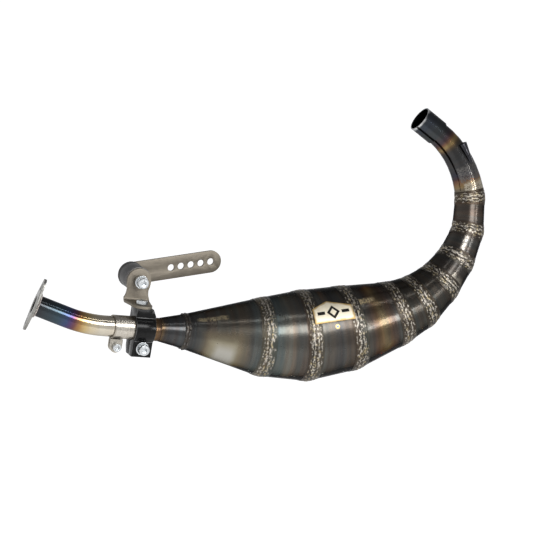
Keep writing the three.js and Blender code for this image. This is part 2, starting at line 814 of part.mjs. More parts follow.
function buildArm() {
  const mount = new THREE.Group();
  mount.position.set(hangerX, 0, pivotZ);
  exhaust.add(mount);

  // The rubber is bonded to a disc at each end; the front half is bored for the screw
  const bore = shankHole(m8);
  const boreDepth = rubberLength / 2 + 2;
  const block = turned([
    [bore, 0],
    [rubberDiameter / 2, 0],
    [rubberDiameter / 2, rubberLength],
    [0, rubberLength],
    [0, boreDepth],
    [bore, boreDepth],
    [bore, 0],
  ]);
  const faceRear = (geometry) => geometry.rotateX(-Math.PI / 2);
  addPiece("rubber_mount", faceRear(block), "rubber", mount).position.y = rubberFront;
  const disc = () => ring(bore, rubberDiameter / 2, 0, mountDiscThickness);
  addPiece("mount_disc_front", faceRear(disc()), "zinc", mount).position.y = frontDisc;
  addPiece("mount_disc_rear", faceRear(disc()), "zinc", mount).position.y = rearDisc;

  const strip = alongMinusY(plate(armShape(), plateThickness));
  const arm = addPiece("hole_strip_arm", strip, "bracket", mount);
  arm.position.y = armFront + plateThickness;
  arm.rotation.y = -radians(armAngle);

  // Stud out of the rear disc, with a washer and nut behind the arm
  const armRear = armFront + plateThickness;
  const washerRear = addPiece("arm_washer", faceRear(washer(m8Washer, m8)), "zinc", mount);
  washerRear.position.y = armRear + gap;
  const nutStart = armRear + gap + m8Washer.thickness + gap;
  addPiece("arm_nut", faceRear(hexNut(m8Nut, m8)), "zinc", mount).position.y = nutStart;
  const studLength = nutStart + m8Nut.thickness + 2 - rearDisc;
  const stud = faceRear(rod(m8.shank / 2, 0, studLength));
  addPiece("mount_stud", stud, "zinc", mount).position.y = rearDisc;
}

// ---------------------------------------------------------------- assembly

buildCones();
buildHeaderBend();
buildInletSleeve();
buildSeams();
buildBadge();
buildSpringPocket();
buildStinger();
buildPinch();
buildOutlet();
buildClamp();
buildHanger();
buildArm();

exhaust.position.copy(mouthStation.centre).negate();

export default exhaust;
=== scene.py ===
import math
import bmesh
import bpy
from mathutils import Matrix, Vector


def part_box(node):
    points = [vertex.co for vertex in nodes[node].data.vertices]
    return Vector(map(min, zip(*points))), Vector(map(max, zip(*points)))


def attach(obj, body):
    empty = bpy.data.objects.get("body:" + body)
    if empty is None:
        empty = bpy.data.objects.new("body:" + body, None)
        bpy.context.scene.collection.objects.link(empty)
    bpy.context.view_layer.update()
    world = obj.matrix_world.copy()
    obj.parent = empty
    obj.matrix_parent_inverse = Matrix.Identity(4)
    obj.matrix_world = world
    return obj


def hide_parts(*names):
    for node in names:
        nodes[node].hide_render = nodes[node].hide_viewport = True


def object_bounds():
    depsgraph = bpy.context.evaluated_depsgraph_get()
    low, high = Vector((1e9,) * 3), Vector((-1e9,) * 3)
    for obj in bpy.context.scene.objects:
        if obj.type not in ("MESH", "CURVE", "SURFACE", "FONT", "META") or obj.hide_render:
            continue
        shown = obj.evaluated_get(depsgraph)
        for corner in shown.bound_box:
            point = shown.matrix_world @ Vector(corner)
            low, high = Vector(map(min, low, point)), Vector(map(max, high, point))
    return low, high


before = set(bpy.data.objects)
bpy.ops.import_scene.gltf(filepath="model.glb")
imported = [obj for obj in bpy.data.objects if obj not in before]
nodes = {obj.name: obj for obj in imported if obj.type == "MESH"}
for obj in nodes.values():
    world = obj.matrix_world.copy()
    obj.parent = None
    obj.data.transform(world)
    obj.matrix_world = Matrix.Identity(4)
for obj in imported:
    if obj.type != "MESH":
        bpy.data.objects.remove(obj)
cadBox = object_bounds()
print("frame loaded:", len(nodes), "nodes")


# Camera, lights and floor

cameraSetup = {
    "target": (-0.1817, -0.0148, -0.2033),
    "azimuth": -25.0,
    "elevation": 10.0,
    "roll": -9.75,
    "distance": 2.0,
    "focalLength": 110.28,
}

lightSetup = {
    "zenith": (0.30, 0.30, 0.31),
    "sides": (0.92, 0.93, 0.95),
    "fade": (0.15, 0.80),  # heights where the sides' colour ends and the zenith's begins
    "lights": [  # name, place, size, watts
        ("mainBox", (-0.08, -1.24, 0.46), (0.76, 0.50), 13.0),
        ("overheadStrip", (-0.05, -0.62, 1.15), (1.5, 0.03), 2.0),
        ("headerBox", (0.62, -1.10, 0.10), (0.11, 0.34), 3.6),
    ],
}

floorSetup = {
    "drop": 0.42,
    "radius": 9.0,
    "steps": 24,
    "sides": 64,
    "flatShare": 0.25,
    "curl": 0.30,
    "colour": (0.95, 0.95, 0.95),
    "roughness": 0.9,
    "shine": 0.1,
    "glow": 0.60,
}


def placeCamera():
    azimuth = math.radians(cameraSetup["azimuth"])
    elevation = math.radians(cameraSetup["elevation"])
    target = Vector(cameraSetup["target"])
    back = Vector((
        math.sin(azimuth) * math.cos(elevation),
        -math.cos(azimuth) * math.cos(elevation),
        math.sin(elevation),
    ))
    data = bpy.data.cameras.new("camera")
    data.lens = cameraSetup["focalLength"]
    data.sensor_width = 36
    data.clip_end = 60
    camera = bpy.data.objects.new("camera", data)
    bpy.context.scene.collection.objects.link(camera)
    level = (-back).to_track_quat("-Z", "Y").to_matrix()
    roll = Matrix.Rotation(math.radians(-cameraSetup["roll"]), 3, "Z")
    turned = (level @ roll).to_4x4()
    turned.translation = target + back * cameraSetup["distance"]
    camera.matrix_world = turned
    bpy.context.scene.camera = camera
    bpy.context.scene.view_settings.view_transform = "Standard"


def placeLights():
    world = bpy.data.worlds.new("room")
    bpy.context.scene.world = world
    world.use_nodes = True
    wires = Wiring(world.node_tree)
    way = wires.split(wires.add("ShaderNodeTexCoord").outputs["Generated"])
    shade = wires.blend(
        wires.step(way[2], *lightSetup["fade"]), (*lightSetup["sides"], 1), (*lightSetup["zenith"], 1),
    )
    wires.feed(world.node_tree.nodes["Background"].inputs["Color"], shade)
    aim = Vector(cameraSetup["target"])
    for name, place, size, watts in lightSetup["lights"]:
        data = bpy.data.lights.new(name, "AREA")
        data.shape = "RECTANGLE"
        data.size, data.size_y = size
        data.energy = watts
        lamp = bpy.data.objects.new(name, data)
        bpy.context.scene.collection.objects.link(lamp)
        spot = Vector(place)
        lamp.location = spot
        lamp.rotation_euler = (aim - spot).to_track_quat("-Z", "Y").to_euler()


# A broad dish: flat under the exhaust, curling up far behind it on every side
def placeFloor():
    steps, sides = floorSetup["steps"], floorSetup["sides"]
    base = cadBox[0].z - floorSetup["drop"]
    middle = (cadBox[0] + cadBox[1]) / 2
    shape = bmesh.new()
    rings = []
    for i in range(1, steps + 1):
        share = i / steps
        reach = floorSetup["radius"] * share
        curl = max(0, share - floorSetup["flatShare"]) ** 2
        height = base + floorSetup["curl"] * floorSetup["radius"] * curl
        rings.append([
            shape.verts.new((
                middle.x + reach * math.cos(2 * math.pi * k / sides),
                middle.y + reach * math.sin(2 * math.pi * k / sides),
                height,
            ))
            for k in range(sides)
        ])
    hub = shape.verts.new((middle.x, middle.y, base))
    for k in range(sides):
        after = (k + 1) % sides
        shape.faces.new((hub, rings[0][k], rings[0][after]))
        for low, high in zip(rings, rings[1:]):
            shape.faces.new((low[k], high[k], high[after], low[after]))
    mesh = bpy.data.meshes.new("floor")
    shape.to_mesh(mesh)
    shape.free()
    mesh.shade_smooth()
    floor = bpy.data.objects.new("floor", mesh)
    bpy.context.scene.collection.objects.link(floor)
    material = bpy.data.materials.new("paleFloor")
    material.use_nodes = True
    setConstants(material.node_tree.nodes["Principled BSDF"], {
        "Base Color": (*floorSetup["colour"], 1),
        "Roughness": floorSetup["roughness"],
        "Specular IOR Level": floorSetup["shine"],
        "Emission Color": (1, 1, 1, 1),
        "Emission Strength": floorSetup["glow"],
    })
    mesh.materials.append(material)


# The pipe's course, in millimetres, from the stinger up to the inlet's mouth

sizes = {
    "gap": 0.3,
    "sheetWall": 1.2,
    "tubeWall": 1.5,
    "stingerDiameter": 28.2,
    "outletDiameter": 25.0,
    "stingerLength": 58.5,
}

chamberCones = [  # node, length, rise, lean, far diameter
    ("end_cone", 32, 0, 0, 42),
    ("baffle_cone", 97, 1, -5, 96),
    ("rear_belly", 57, 7, -6, 113),
    ("front_belly", 59, 15, -5, 107),
    ("diffuser_cone_4", 65, 22, -4, 83),
    ("diffuser_cone_3", 35, 30, 0, 71),
    ("diffuser_cone_2", 39, 45, 3, 57),
    ("diffuser_cone_1", 37, 57, 6, 48),
    ("header_cone_2", 40, 71, 9, 41),
    ("header_cone_1", 42, 91, 12, 38),
]

headerBend = {"length": 97, "diameter": 30, "rise": (102, 151), "lean": (12, 8), "steps": 8}
inletSleeve = {"length": 30, "wall": 1.3, "overlap": 8}
outletBend = {
    "insertion": 34,
    "straight": 10,
    "radius": 130,
    "angle": 20,
    "clock": 43,
    "steps": 6,
    "tail": 39,
}


def mix(a, b, share):
    return a + (b - a) * share


def heading(rise, lean):
    rise, lean = math.radians(rise), math.radians(lean)
    return Vector((math.cos(lean) * math.cos(rise), math.sin(lean), math.cos(lean) * math.sin(rise)))


# Stations where legs of (length, direction, far diameter) meet, in metres
def layRun(start, diameter, legs):
    centres, distances, diameters = [start], [0.0], [diameter]
    for length, direction, far in legs:
        centres.append(centres[-1] + direction * length)
        distances.append(distances[-1] + length)
        diameters.append(far)
    stations = []
    for i, centre in enumerate(centres):
        before = legs[max(i - 1, 0)][1]
        after = legs[min(i, len(legs) - 1)][1]
        along = (before + after).normalized()
        side = Vector((0, -1, 0))
        side = (side - along * side.dot(along)).normalized()
        stations.append({
            "at": distances[i] / 1000,
            "centre": centre / 1000,
            "side": side,
            "outward": along.cross(side),
            "along": along,
            "radius": diameters[i] / 2000,
        })
    return stations


def chamberLegs():
    legs = [(length, heading(rise, lean), far) for _, length, rise, lean, far in chamberCones]
    steps = headerBend["steps"]
    startDiameter = chamberCones[-1][4]
    for i in range(steps):
        share = (i + 0.5) / steps
        direction = heading(mix(*headerBend["rise"], share), mix(*headerBend["lean"], share))
        far = mix(startDiameter, headerBend["diameter"], (i + 1) / steps)
        legs.append((headerBend["length"] / steps, direction, far))
    last = heading(headerBend["rise"][1], headerBend["lean"][1])
    legs.append((inletSleeve["length"], last, headerBend["diameter"]))
    return legs


def outletLegs():
    clock = math.radians(outletBend["clock"])
    bendSide = Vector((0, math.sin(clock), math.cos(clock)))
    straight = outletBend["insertion"] + outletBend["straight"]
    legs = [(straight, Vector((-1, 0, 0)), sizes["outletDiameter"])]
    full = math.radians(outletBend["angle"])
    steps = outletBend["steps"]
    for i in range(steps):
        turn = full * (i + 0.5) / steps
        direction = Vector((-math.cos(turn), 0, 0)) + bendSide * math.sin(turn)
        legs.append((outletBend["radius"] * full / steps, direction, sizes["outletDiameter"]))
    tail = Vector((-math.cos(full), 0, 0)) + bendSide * math.sin(full)
    legs.append((outletBend["tail"], tail, sizes["outletDiameter"]))
    return legs


# Everything is laid from the stinger's weld, then moved so that the mouth is the origin
chamberRun = layRun(Vector(), sizes["stingerDiameter"], chamberLegs())
shift = -chamberRun[-1]["centre"]
outletStart = Vector((-sizes["stingerLength"] + outletBend["insertion"], 0, 0))
outletRun = layRun(outletStart, sizes["outletDiameter"], outletLegs())
for station in chamberRun + outletRun:
    station["centre"] = station["centre"] + shift


def stationAt(run, at):
    leg = 0
    while leg < len(run) - 2 and at > run[leg + 1]["at"]:
        leg += 1
    a, b = run[leg], run[leg + 1]
    share = (at - a["at"]) / (b["at"] - a["at"])
    mixed = {key: mix(a[key], b[key], share) for key in ("centre", "side", "outward", "radius")}
    mixed["sideReach"] = mix(a["side"] * a["radius"], b["side"] * b["radius"], share)
    mixed["outwardReach"] = mix(a["outward"] * a["radius"], b["outward"] * b["radius"], share)
    mixed["along"] = (b["centre"] - a["centre"]).normalized()
    mixed["at"] = at
    return mixed


def pointOff(run, at, clock, offset):
    s = stationAt(run, at)
    rim = s["sideReach"] * math.cos(clock) + s["outwardReach"] * math.sin(clock)
    return s["centre"] + rim + rim.normalized() * offset


# Node-building help

def newTree(name, sockets):
    tree = bpy.data.node_groups.new(name, "GeometryNodeTree")
    tree.interface.new_socket("Geometry", in_out="INPUT", socket_type="NodeSocketGeometry")
    for label, kind, value in sockets:
        socket = tree.interface.new_socket(label, in_out="INPUT", socket_type="NodeSocket" + kind)
        if value is not None:
            socket.default_value = value
    tree.interface.new_socket("Geometry", in_out="OUTPUT", socket_type="NodeSocketGeometry")
    return tree


# Adds nodes to a tree and joins them; an input is a socket, a number, a vector or None
class Wiring:
    def __init__(self, tree):
        self.tree = tree

    def add(self, kind, *inputs, **settings):
        node = self.tree.nodes.new(kind)
        for key, value in settings.items():
            setattr(node, key, value)
        for socket, value in zip([s for s in node.inputs if s.enabled], inputs):
            self.feed(socket, value)
        return node

    def feed(self, socket, value):
        if isinstance(value, bpy.types.NodeSocket):
            self.tree.links.new(value, socket)
        elif value is not None:
            socket.default_value = value

    def math(self, operation, *inputs, clamp=False):
        node = self.add("ShaderNodeMath", operation=operation, use_clamp=clamp)
        for socket, value in zip(node.inputs, inputs):
            self.feed(socket, value)
        return node.outputs[0]

    def vector(self, operation, *inputs):
        node = self.add("ShaderNodeVectorMath", operation=operation)
        sockets = [node.inputs[0], node.inputs["Scale"]] if operation == "SCALE" else node.inputs
        for socket, value in zip(sockets, inputs):
            self.feed(socket, value)
        return node.outputs["Value"] if operation in ("LENGTH", "DOT_PRODUCT") else node.outputs[0]

    def split(self, vector):
        return self.add("ShaderNodeSeparateXYZ", vector).outputs

    def join(self, x, y, z):
        return self.add("ShaderNodeCombineXYZ", x, y, z).outputs[0]

    def noise(self, vector, scale, detail=2.0, roughness=0.5, distortion=0.0):
        node = self.add("ShaderNodeTexNoise")
        self.feed(node.inputs["Vector"], vector)
        self.feed(node.inputs["Scale"], scale)
        self.feed(node.inputs["Detail"], detail)
        self.feed(node.inputs["Roughness"], roughness)
        self.feed(node.inputs["Distortion"], distortion)
        return node.outputs[0]

    # 0 below low, 1 above high, smooth between
    def step(self, value, low, high):
        node = self.add("ShaderNodeMapRange", interpolation_type="SMOOTHSTEP")
        for name, item in (("Value", value), ("From Min", low), ("From Max", high)):
            self.feed(node.inputs[name], item)
        return node.outputs[0]

    def blend(self, share, a, b, mode="MIX"):
        node = self.add("ShaderNodeMix", data_type="RGBA", blend_type=mode)
        self.feed(node.inputs[0], share)
        self.feed(node.inputs[6], a)
        self.feed(node.inputs[7], b)
        return node.outputs[2]

    def ramp(self, value, stops):
        node = self.add("ShaderNodeValToRGB")
        self.feed(node.inputs[0], value)
        elements = node.color_ramp.elements
        while len(elements) < len(stops):
            elements.new(0.5)
        for element, (place, colour) in zip(elements, stops):
            element.position = place
            element.color = (*colour, 1)
        return node.outputs[0]


def setConstants(shader, values):
    for label, value in values.items():
        shader.inputs[label].default_value = value


placeCamera()
placeLights()
placeFloor()
print("camera, lights and floor placed")


def setInput(modifier, label, value):
    for socket in modifier.node_group.interface.items_tree:
        if socket.in_out == "INPUT" and socket.name == label:
            modifier[socket.identifier] = value
            return
    raise ValueError("no input called " + label)


# Runs a tree on a mesh and returns the result as a plain mesh
def grown(tree, mesh, inputs):
    holder = bpy.data.objects.new("holder", mesh)
    bpy.context.scene.collection.objects.link(holder)
    modifier = holder.modifiers.new("grow", "NODES")
    modifier.node_group = tree
    for label, value in inputs.items():
        setInput(modifier, label, value)
    bpy.context.view_layer.update()
    ready = holder.evaluated_get(bpy.context.evaluated_depsgraph_get())
    result = bpy.data.meshes.new_from_object(ready)
    bpy.data.objects.remove(holder)
    return result


def addPiece(name, mesh, body, replaced):
    piece = bpy.data.objects.new(name, mesh)
    bpy.context.scene.collection.objects.link(piece)
    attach(piece, body)
    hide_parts(replaced)
    return piece


# Applies a piece's modifiers, then shades it smooth up to the given edge angle
def settle(piece, angle=35):
    bpy.context.view_layer.update()
    ready = piece.evaluated_get(bpy.context.evaluated_depsgraph_get())
    old = piece.data
    piece.data = bpy.data.meshes.new_from_object(ready)
    piece.data.name = piece.name
    piece.modifiers.clear()
    bpy.data.meshes.remove(old)
    piece.data.shade_smooth()
    piece.data.set_sharp_from_angle(angle=math.radians(angle))


# Finishes

def newFinish(name):
    material = bpy.data.materials.new(name)
    material.use_nodes = True
    wires = Wiring(material.node_tree)
    shader = material.node_tree.nodes["Principled BSDF"]
    return material, wires, shader


def addBump(wires, shader, height, distance):
    bump = wires.add("ShaderNodeBump")
    bump.inputs["Distance"].default_value = distance
    wires.feed(bump.inputs["Height"], height)
    wires.feed(shader.inputs["Normal"], bump.outputs[0])


def pipePlace(wires):
    node = wires.add("ShaderNodeAttribute", attribute_name="pipePlace")
    return node.outputs["Vector"]


# Heat tint: the steel's colour at distances along the chamber, in millimetres
chamberTint = {
    "length": 0.640,
    "colours": [
        (0, (0.10, 0.065, 0.036)), (4, (0.048, 0.038, 0.032)), (11, (0.032, 0.033, 0.036)),
        (27, (0.050, 0.050, 0.051)), (38, (0.038, 0.039, 0.040)), (50, (0.052, 0.048, 0.044)),
        (100, (0.068, 0.062, 0.052)), (112, (0.058, 0.064, 0.064)), (124, (0.088, 0.080, 0.066)),
        (137, (0.060, 0.068, 0.068)), (146, (0.062, 0.074, 0.074)), (156, (0.088, 0.078, 0.066)),
        (166, (0.070, 0.066, 0.060)), (178, (0.058, 0.051, 0.046)), (196, (0.058, 0.063, 0.062)),
        (206, (0.066, 0.054, 0.045)), (218, (0.044, 0.042, 0.042)), (232, (0.052, 0.046, 0.040)),
        (248, (0.042, 0.042, 0.040)), (256, (0.052, 0.056, 0.054)), (265, (0.048, 0.036, 0.030)),
        (271, (0.070, 0.050, 0.031)), (278, (0.115, 0.083, 0.046)), (285, (0.066, 0.048, 0.033)),
        (291, (0.046, 0.036, 0.032)), (300, (0.046, 0.043, 0.040)),
        (325, (0.042, 0.040, 0.036)), (360, (0.038, 0.035, 0.031)), (400, (0.037, 0.035, 0.033)),
        (440, (0.046, 0.043, 0.040)), (485, (0.046, 0.038, 0.033)), (510, (0.042, 0.035, 0.029)),
    ],
    "streaks": 0.75,
    "roughness": 0.25,
    "lacquer": 0.10,
    "edgeShade": 0.20,
}

headerTint = {
    "length": 0.640,
    "colours": [
        (495, (0.03, 0.025, 0.022)), (507, (0.075, 0.058, 0.042)), (515, (0.10, 0.08, 0.055)),
        (521, (0.20, 0.13, 0.055)), (526, (0.13, 0.06, 0.03)), (530, (0.035, 0.018, 0.018)),
        (536, (0.018, 0.018, 0.030)), (546, (0.026, 0.025, 0.026)), (570, (0.020, 0.020, 0.020)),
        (576, (0.05, 0.035, 0.02)), (581, (0.17, 0.115, 0.045)), (586, (0.085, 0.040, 0.022)),
        (591, (0.032, 0.020, 0.028)), (598, (0.022, 0.022, 0.024)), (608, (0.022, 0.026, 0.028)),
        (620, (0.018, 0.022, 0.030)), (628.6, (0.018, 0.022, 0.028)), (629.2, (0.42, 0.44, 0.46)),
    ],
    "streaks": 0.5,
    "roughness": 0.13,
    "lacquer": 0.35,
    "edgeShade": 0.35,
}

outletTint = {
    "length": 0.140,
    "colours": [
        (0, (0.40, 0.36, 0.30)), (50, (0.42, 0.38, 0.31)), (60, (0.42, 0.36, 0.25)),
        (68, (0.38, 0.28, 0.13)), (75, (0.26, 0.14, 0.05)), (81, (0.11, 0.045, 0.05)),
        (86, (0.06, 0.035, 0.10)), (91, (0.035, 0.05, 0.11)), (100, (0.03, 0.05, 0.065)),
        (114, (0.028, 0.036, 0.042)), (128, (0.024, 0.024, 0.026)),
    ],
    "streaks": 0.12,
    "roughness": 0.16,
    "lacquer": 0.2,
    "edgeShade": 0.5,
}


# Noise scales per metre; squash draws the streaks out round the pipe
streakLook = {
    "wobbleScale": 38.0,
    "wobble": 0.012,
    "squash": 0.06,
    "fineScale": 520.0,
    "broadScale": 120.0,
    "warmScale": 150.0,
    "fineShare": 0.6,
    "broadShare": 1.1,
    "range": (0.45, 1.25),
    "dark": (0.62, 0.62, 0.63, 1),
    "bright": (1.45, 1.43, 1.38, 1),
    "teal": (0.92, 1.01, 1.03, 1),
    "warm": (1.09, 0.98, 0.89, 1),
}


# The tinted steel's colour, with fine streaks that run round the pipe
def tintColour(wires, place, tint):
    look = streakLook
    along = wires.split(place)[0]
    wobble = wires.math("SUBTRACT", wires.noise(place, look["wobbleScale"], 3.0), 0.5)
    shifted = wires.math("ADD", along, wires.math("MULTIPLY", wobble, look["wobble"]))
    share = wires.math("DIVIDE", shifted, tint["length"])
    stops = [(at / 1000 / tint["length"], colour) for at, colour in tint["colours"]]
    colour = wires.ramp(share, stops)
    ringed = wires.vector("MULTIPLY", place, (1.0, look["squash"], look["squash"]))
    fine = wires.noise(ringed, look["fineScale"], 4.0, 0.65)
    broad = wires.noise(ringed, look["broadScale"], 2.0, 0.6)
    warm = wires.noise(wires.vector("ADD", ringed, (3.1, 1.7, 0.4)), look["warmScale"], 2.0)
    level = wires.math(
        "ADD",
        wires.math("MULTIPLY", fine, look["fineShare"]),
        wires.math("MULTIPLY", broad, look["broadShare"]),
    )
    level = wires.step(level, *look["range"])
    dark = wires.blend(1.0, colour, look["dark"], "MULTIPLY")
    bright = wires.blend(1.0, colour, look["bright"], "MULTIPLY")
    streaked = wires.blend(level, dark, bright)
    tealWarm = wires.blend(wires.step(warm, 0.38, 0.62), look["teal"], look["warm"])
    tinted = wires.blend(1.0, streaked, tealWarm, "MULTIPLY")
    return wires.blend(tint["streaks"], colour, tinted), fine


def tintedSteel(name, tint, extra=None):
    material, wires, shader = newFinish(name)
    place = pipePlace(wires)
    colour, fine = tintColour(wires, place, tint)
    if extra:
        colour = extra(wires, place, colour)
    wires.feed(shader.inputs["Base Color"], colour)
    setConstants(shader, {
        "Metallic": 1.0,
        "Coat Weight": tint["lacquer"],
        "Coat Roughness": 0.04,
        "Specular Tint": (*[tint["edgeShade"]] * 3, 1),
    })
    smear = wires.noise(place, 60.0, 4.0)
    rough = wires.math("ADD", wires.math("MULTIPLY", smear, 0.16), tint["roughness"] - 0.07)
    wires.feed(shader.inputs["Roughness"], rough)
    dents = wires.noise(place, 45.0, 2.0)
    addBump(wires, shader, wires.math("ADD", wires.math("MULTIPLY", fine, 0.4), dents), 0.00012)
    return material


# Angle round the pipe, from the side that faces -Y, positive to the outside of the bend
def clockOf(wires, place):
    parts = wires.split(place)
    return wires.math("ARCTAN2", parts[2], parts[1])


# 1 inside a soft-edged patch of the pipe's skin, with a wandering edge
def patch(wires, place, along, clock, soft, wander, clockSoft=0.06):
    jitter = wires.math("SUBTRACT", wires.noise(place, 90.0, 3.0), 0.5)
    at = wires.math("ADD", wires.split(place)[0], wires.math("MULTIPLY", jitter, wander))
    angle = wires.math("ADD", clockOf(wires, place), wires.math("MULTIPLY", jitter, wander * 20))
    edges = []
    for value, (low, high), fade in ((at, along, soft), (angle, clock, clockSoft)):
        rise = wires.step(value, low - fade / 2, low + fade / 2)
        fall = wires.step(value, high - fade / 2, high + fade / 2)
        edges.append(wires.math("SUBTRACT", rise, fall))
    return wires.math("MULTIPLY", *edges)


# A pale patch low on the baffle's side: brown at its edges, then straw, then pale grey at its heart,
# each with its reach along and round the pipe, the softness of both, its strength and its colour
bafflePatches = [
    ((0.052, 0.101), (-0.30, 1.50), 0.014, 0.30, 0.75, (0.13, 0.105, 0.07, 1)),
    ((0.058, 0.093), (-0.05, 1.40), 0.012, 0.40, 0.85, (0.20, 0.18, 0.125, 1)),
    ((0.066, 0.089), (0.25, 1.30), 0.010, 0.50, 0.90, (0.30, 0.29, 0.26, 1)),
]

# Dressed strips: reach along the pipe in metres, round it in radians, and colour
baffleStrips = [((0.044, 0.080), (-0.98, -0.80), (0.42, 0.35, 0.22, 1))]
chamberStrips = [
    ((0.249, 0.277), (-0.96, -0.84), (0.62, 0.50, 0.30, 1)),
    ((0.428, 0.452), (-0.62, -0.36), (0.20, 0.185, 0.165, 1)),
    ((0.385, 0.398), (-0.30, 0.60), (0.16, 0.145, 0.12, 1)),
]
headerStrips = [
    ((0.526, 0.546), (-0.9, 0.95), (0.10, 0.095, 0.088, 1)),
    ((0.510, 0.524), (-0.75, 0.95), (0.36, 0.32, 0.25, 1)),
]


def baffleMarks(wires, place, colour):
    for along, clock, soft, clockSoft, strength, shade in bafflePatches:
        area = patch(wires, place, along, clock, soft, 0.004, clockSoft)
        colour = wires.blend(wires.math("MULTIPLY", area, strength), colour, shade)
    return dressedStrips(wires, place, colour, baffleStrips)


def dressedStrips(wires, place, colour, strips):
    for along, clock, shade in strips:
        strip = patch(wires, place, along, clock, 0.006, 0.008, 0.08)
        worms = wires.step(wires.noise(place, 620.0, 3.0, 0.65, 1.0), 0.40, 0.54)
        colour = wires.blend(wires.math("MULTIPLY", strip, worms), colour, shade)
    return colour


# A round burn below the badge: a straw ring round a blue heart
burnMark = {
    "along": 0.2155,
    "clock": -0.40,
    "radius": 0.0527,  # of the belly there
    "ring": 0.0034,
    "ringSoft": 0.0012,
    "heart": 0.0019,
    "heartSoft": 0.0008,
}


def chamberMarks(wires, place, colour):
    colour = dressedStrips(wires, place, colour, chamberStrips)
    alongGap = wires.math("SUBTRACT", wires.split(place)[0], burnMark["along"])
    turn = wires.math("SUBTRACT", clockOf(wires, place), burnMark["clock"])
    aroundGap = wires.math("MULTIPLY", turn, burnMark["radius"])
    away = wires.vector("LENGTH", wires.join(alongGap, aroundGap, 0.0))
    ring = wires.step(away, burnMark["ring"], burnMark["ring"] - burnMark["ringSoft"])
    colour = wires.blend(wires.math("MULTIPLY", ring, 0.8), colour, (0.34, 0.22, 0.08, 1))
    heart = wires.step(away, burnMark["heart"], burnMark["heart"] - burnMark["heartSoft"])
    return wires.blend(heart, colour, (0.05, 0.075, 0.12, 1))


def headerMarks(wires, place, colour):
    return dressedStrips(wires, place, colour, headerStrips)


# Wire-dressed weld: bright worms over the tinted steel, ragged at the band's edges
def weldFinish(name, tint, bright, gilt):
    material, wires, shader = newFinish(name)
    place = pipePlace(wires)
    steel, _ = tintColour(wires, place, tint)
    height = wires.add("ShaderNodeAttribute", attribute_name="ridge").outputs["Fac"]
    speck = wires.noise(place, 1100.0, 3.0, 0.62)
    crumbs = wires.math("MULTIPLY", wires.math("SUBTRACT", speck, 0.5), 1.2)
    worn = wires.step(wires.math("ADD", height, crumbs), 0.30, 0.78)
    gold = wires.step(wires.noise(place, 170.0, 2.0), 0.46, 0.66)
    metal = wires.blend(gold, (*bright, 1), (*gilt, 1))
    valley = wires.blend(1.0, steel, (0.85, 0.78, 0.70, 1), "MULTIPLY")
    wires.feed(shader.inputs["Base Color"], wires.blend(worn, valley, metal))
    rough = wires.math("ADD", 0.30, wires.math("MULTIPLY", worn, 0.14))
    wires.feed(shader.inputs["Roughness"], rough)
    setConstants(shader, {
        "Metallic": 1.0,
        "Coat Weight": 0.1,
        "Coat Roughness": 0.1,
        "Specular Tint": (0.5, 0.5, 0.5, 1),
    })
    addBump(wires, shader, speck, 0.00025)
    return material


def plainSteel(
    name, colour, roughness, grainWay=(1, 1, 1), grain=0.25, metal=1.0, coat=0.0, gloss=0.5,
):
    material, wires, shader = newFinish(name)
    place = wires.add("ShaderNodeTexCoord").outputs["Object"]
    drawn = wires.vector("MULTIPLY", place, grainWay)
    fine = wires.noise(drawn, 1400.0, 3.0, 0.6)
    cloud = wires.noise(place, 70.0, 3.0)
    dark = tuple(c * (1 - grain) for c in colour)
    light = tuple(min(1, c * (1 + grain)) for c in colour)
    level = wires.math("ADD", wires.math("MULTIPLY", fine, 0.5), wires.math("MULTIPLY", cloud, 0.5))
    shade = wires.blend(wires.step(level, 0.3, 0.7), (*dark, 1), (*light, 1))
    wires.feed(shader.inputs["Base Color"], shade)
    rough = wires.math("ADD", roughness - 0.08, wires.math("MULTIPLY", cloud, 0.16))
    wires.feed(shader.inputs["Roughness"], rough)
    setConstants(shader, {
        "Metallic": metal,
        "Coat Weight": coat,
        "Coat Roughness": 0.08,
        "Specular IOR Level": gloss,
    })
    addBump(wires, shader, fine, 0.00005)
    return material


def rubberFinish():
    material, wires, shader = newFinish("mountRubber")
    place = wires.add("ShaderNodeTexCoord").outputs["Object"]
    dust = wires.noise(place, 120.0, 4.0, 0.6)
    pits = wires.noise(place, 1800.0, 2.0)
    shade = wires.blend(dust, (0.009, 0.008, 0.008, 1), (0.026, 0.023, 0.021, 1))
    wires.feed(shader.inputs["Base Color"], shade)
    rough = wires.math("ADD", 0.38, wires.math("MULTIPLY", dust, 0.25))
    wires.feed(shader.inputs["Roughness"], rough)
    addBump(wires, shader, pits, 0.0001)
    return material


# The sleeve's heat tint by distance from its open end, in millimetres
stingerTint = {
    "open": shift.x - sizes["stingerLength"] / 1000,
    "length": 0.0585,
    "colours": [
        (0, (0.30, 0.27, 0.23)), (2, (0.46, 0.43, 0.38)), (22, (0.44, 0.41, 0.36)),
        (40, (0.40, 0.34, 0.24)), (47, (0.26, 0.20, 0.12)), (51, (0.15, 0.09, 0.045)),
        (57, (0.075, 0.05, 0.035)),
    ],
}


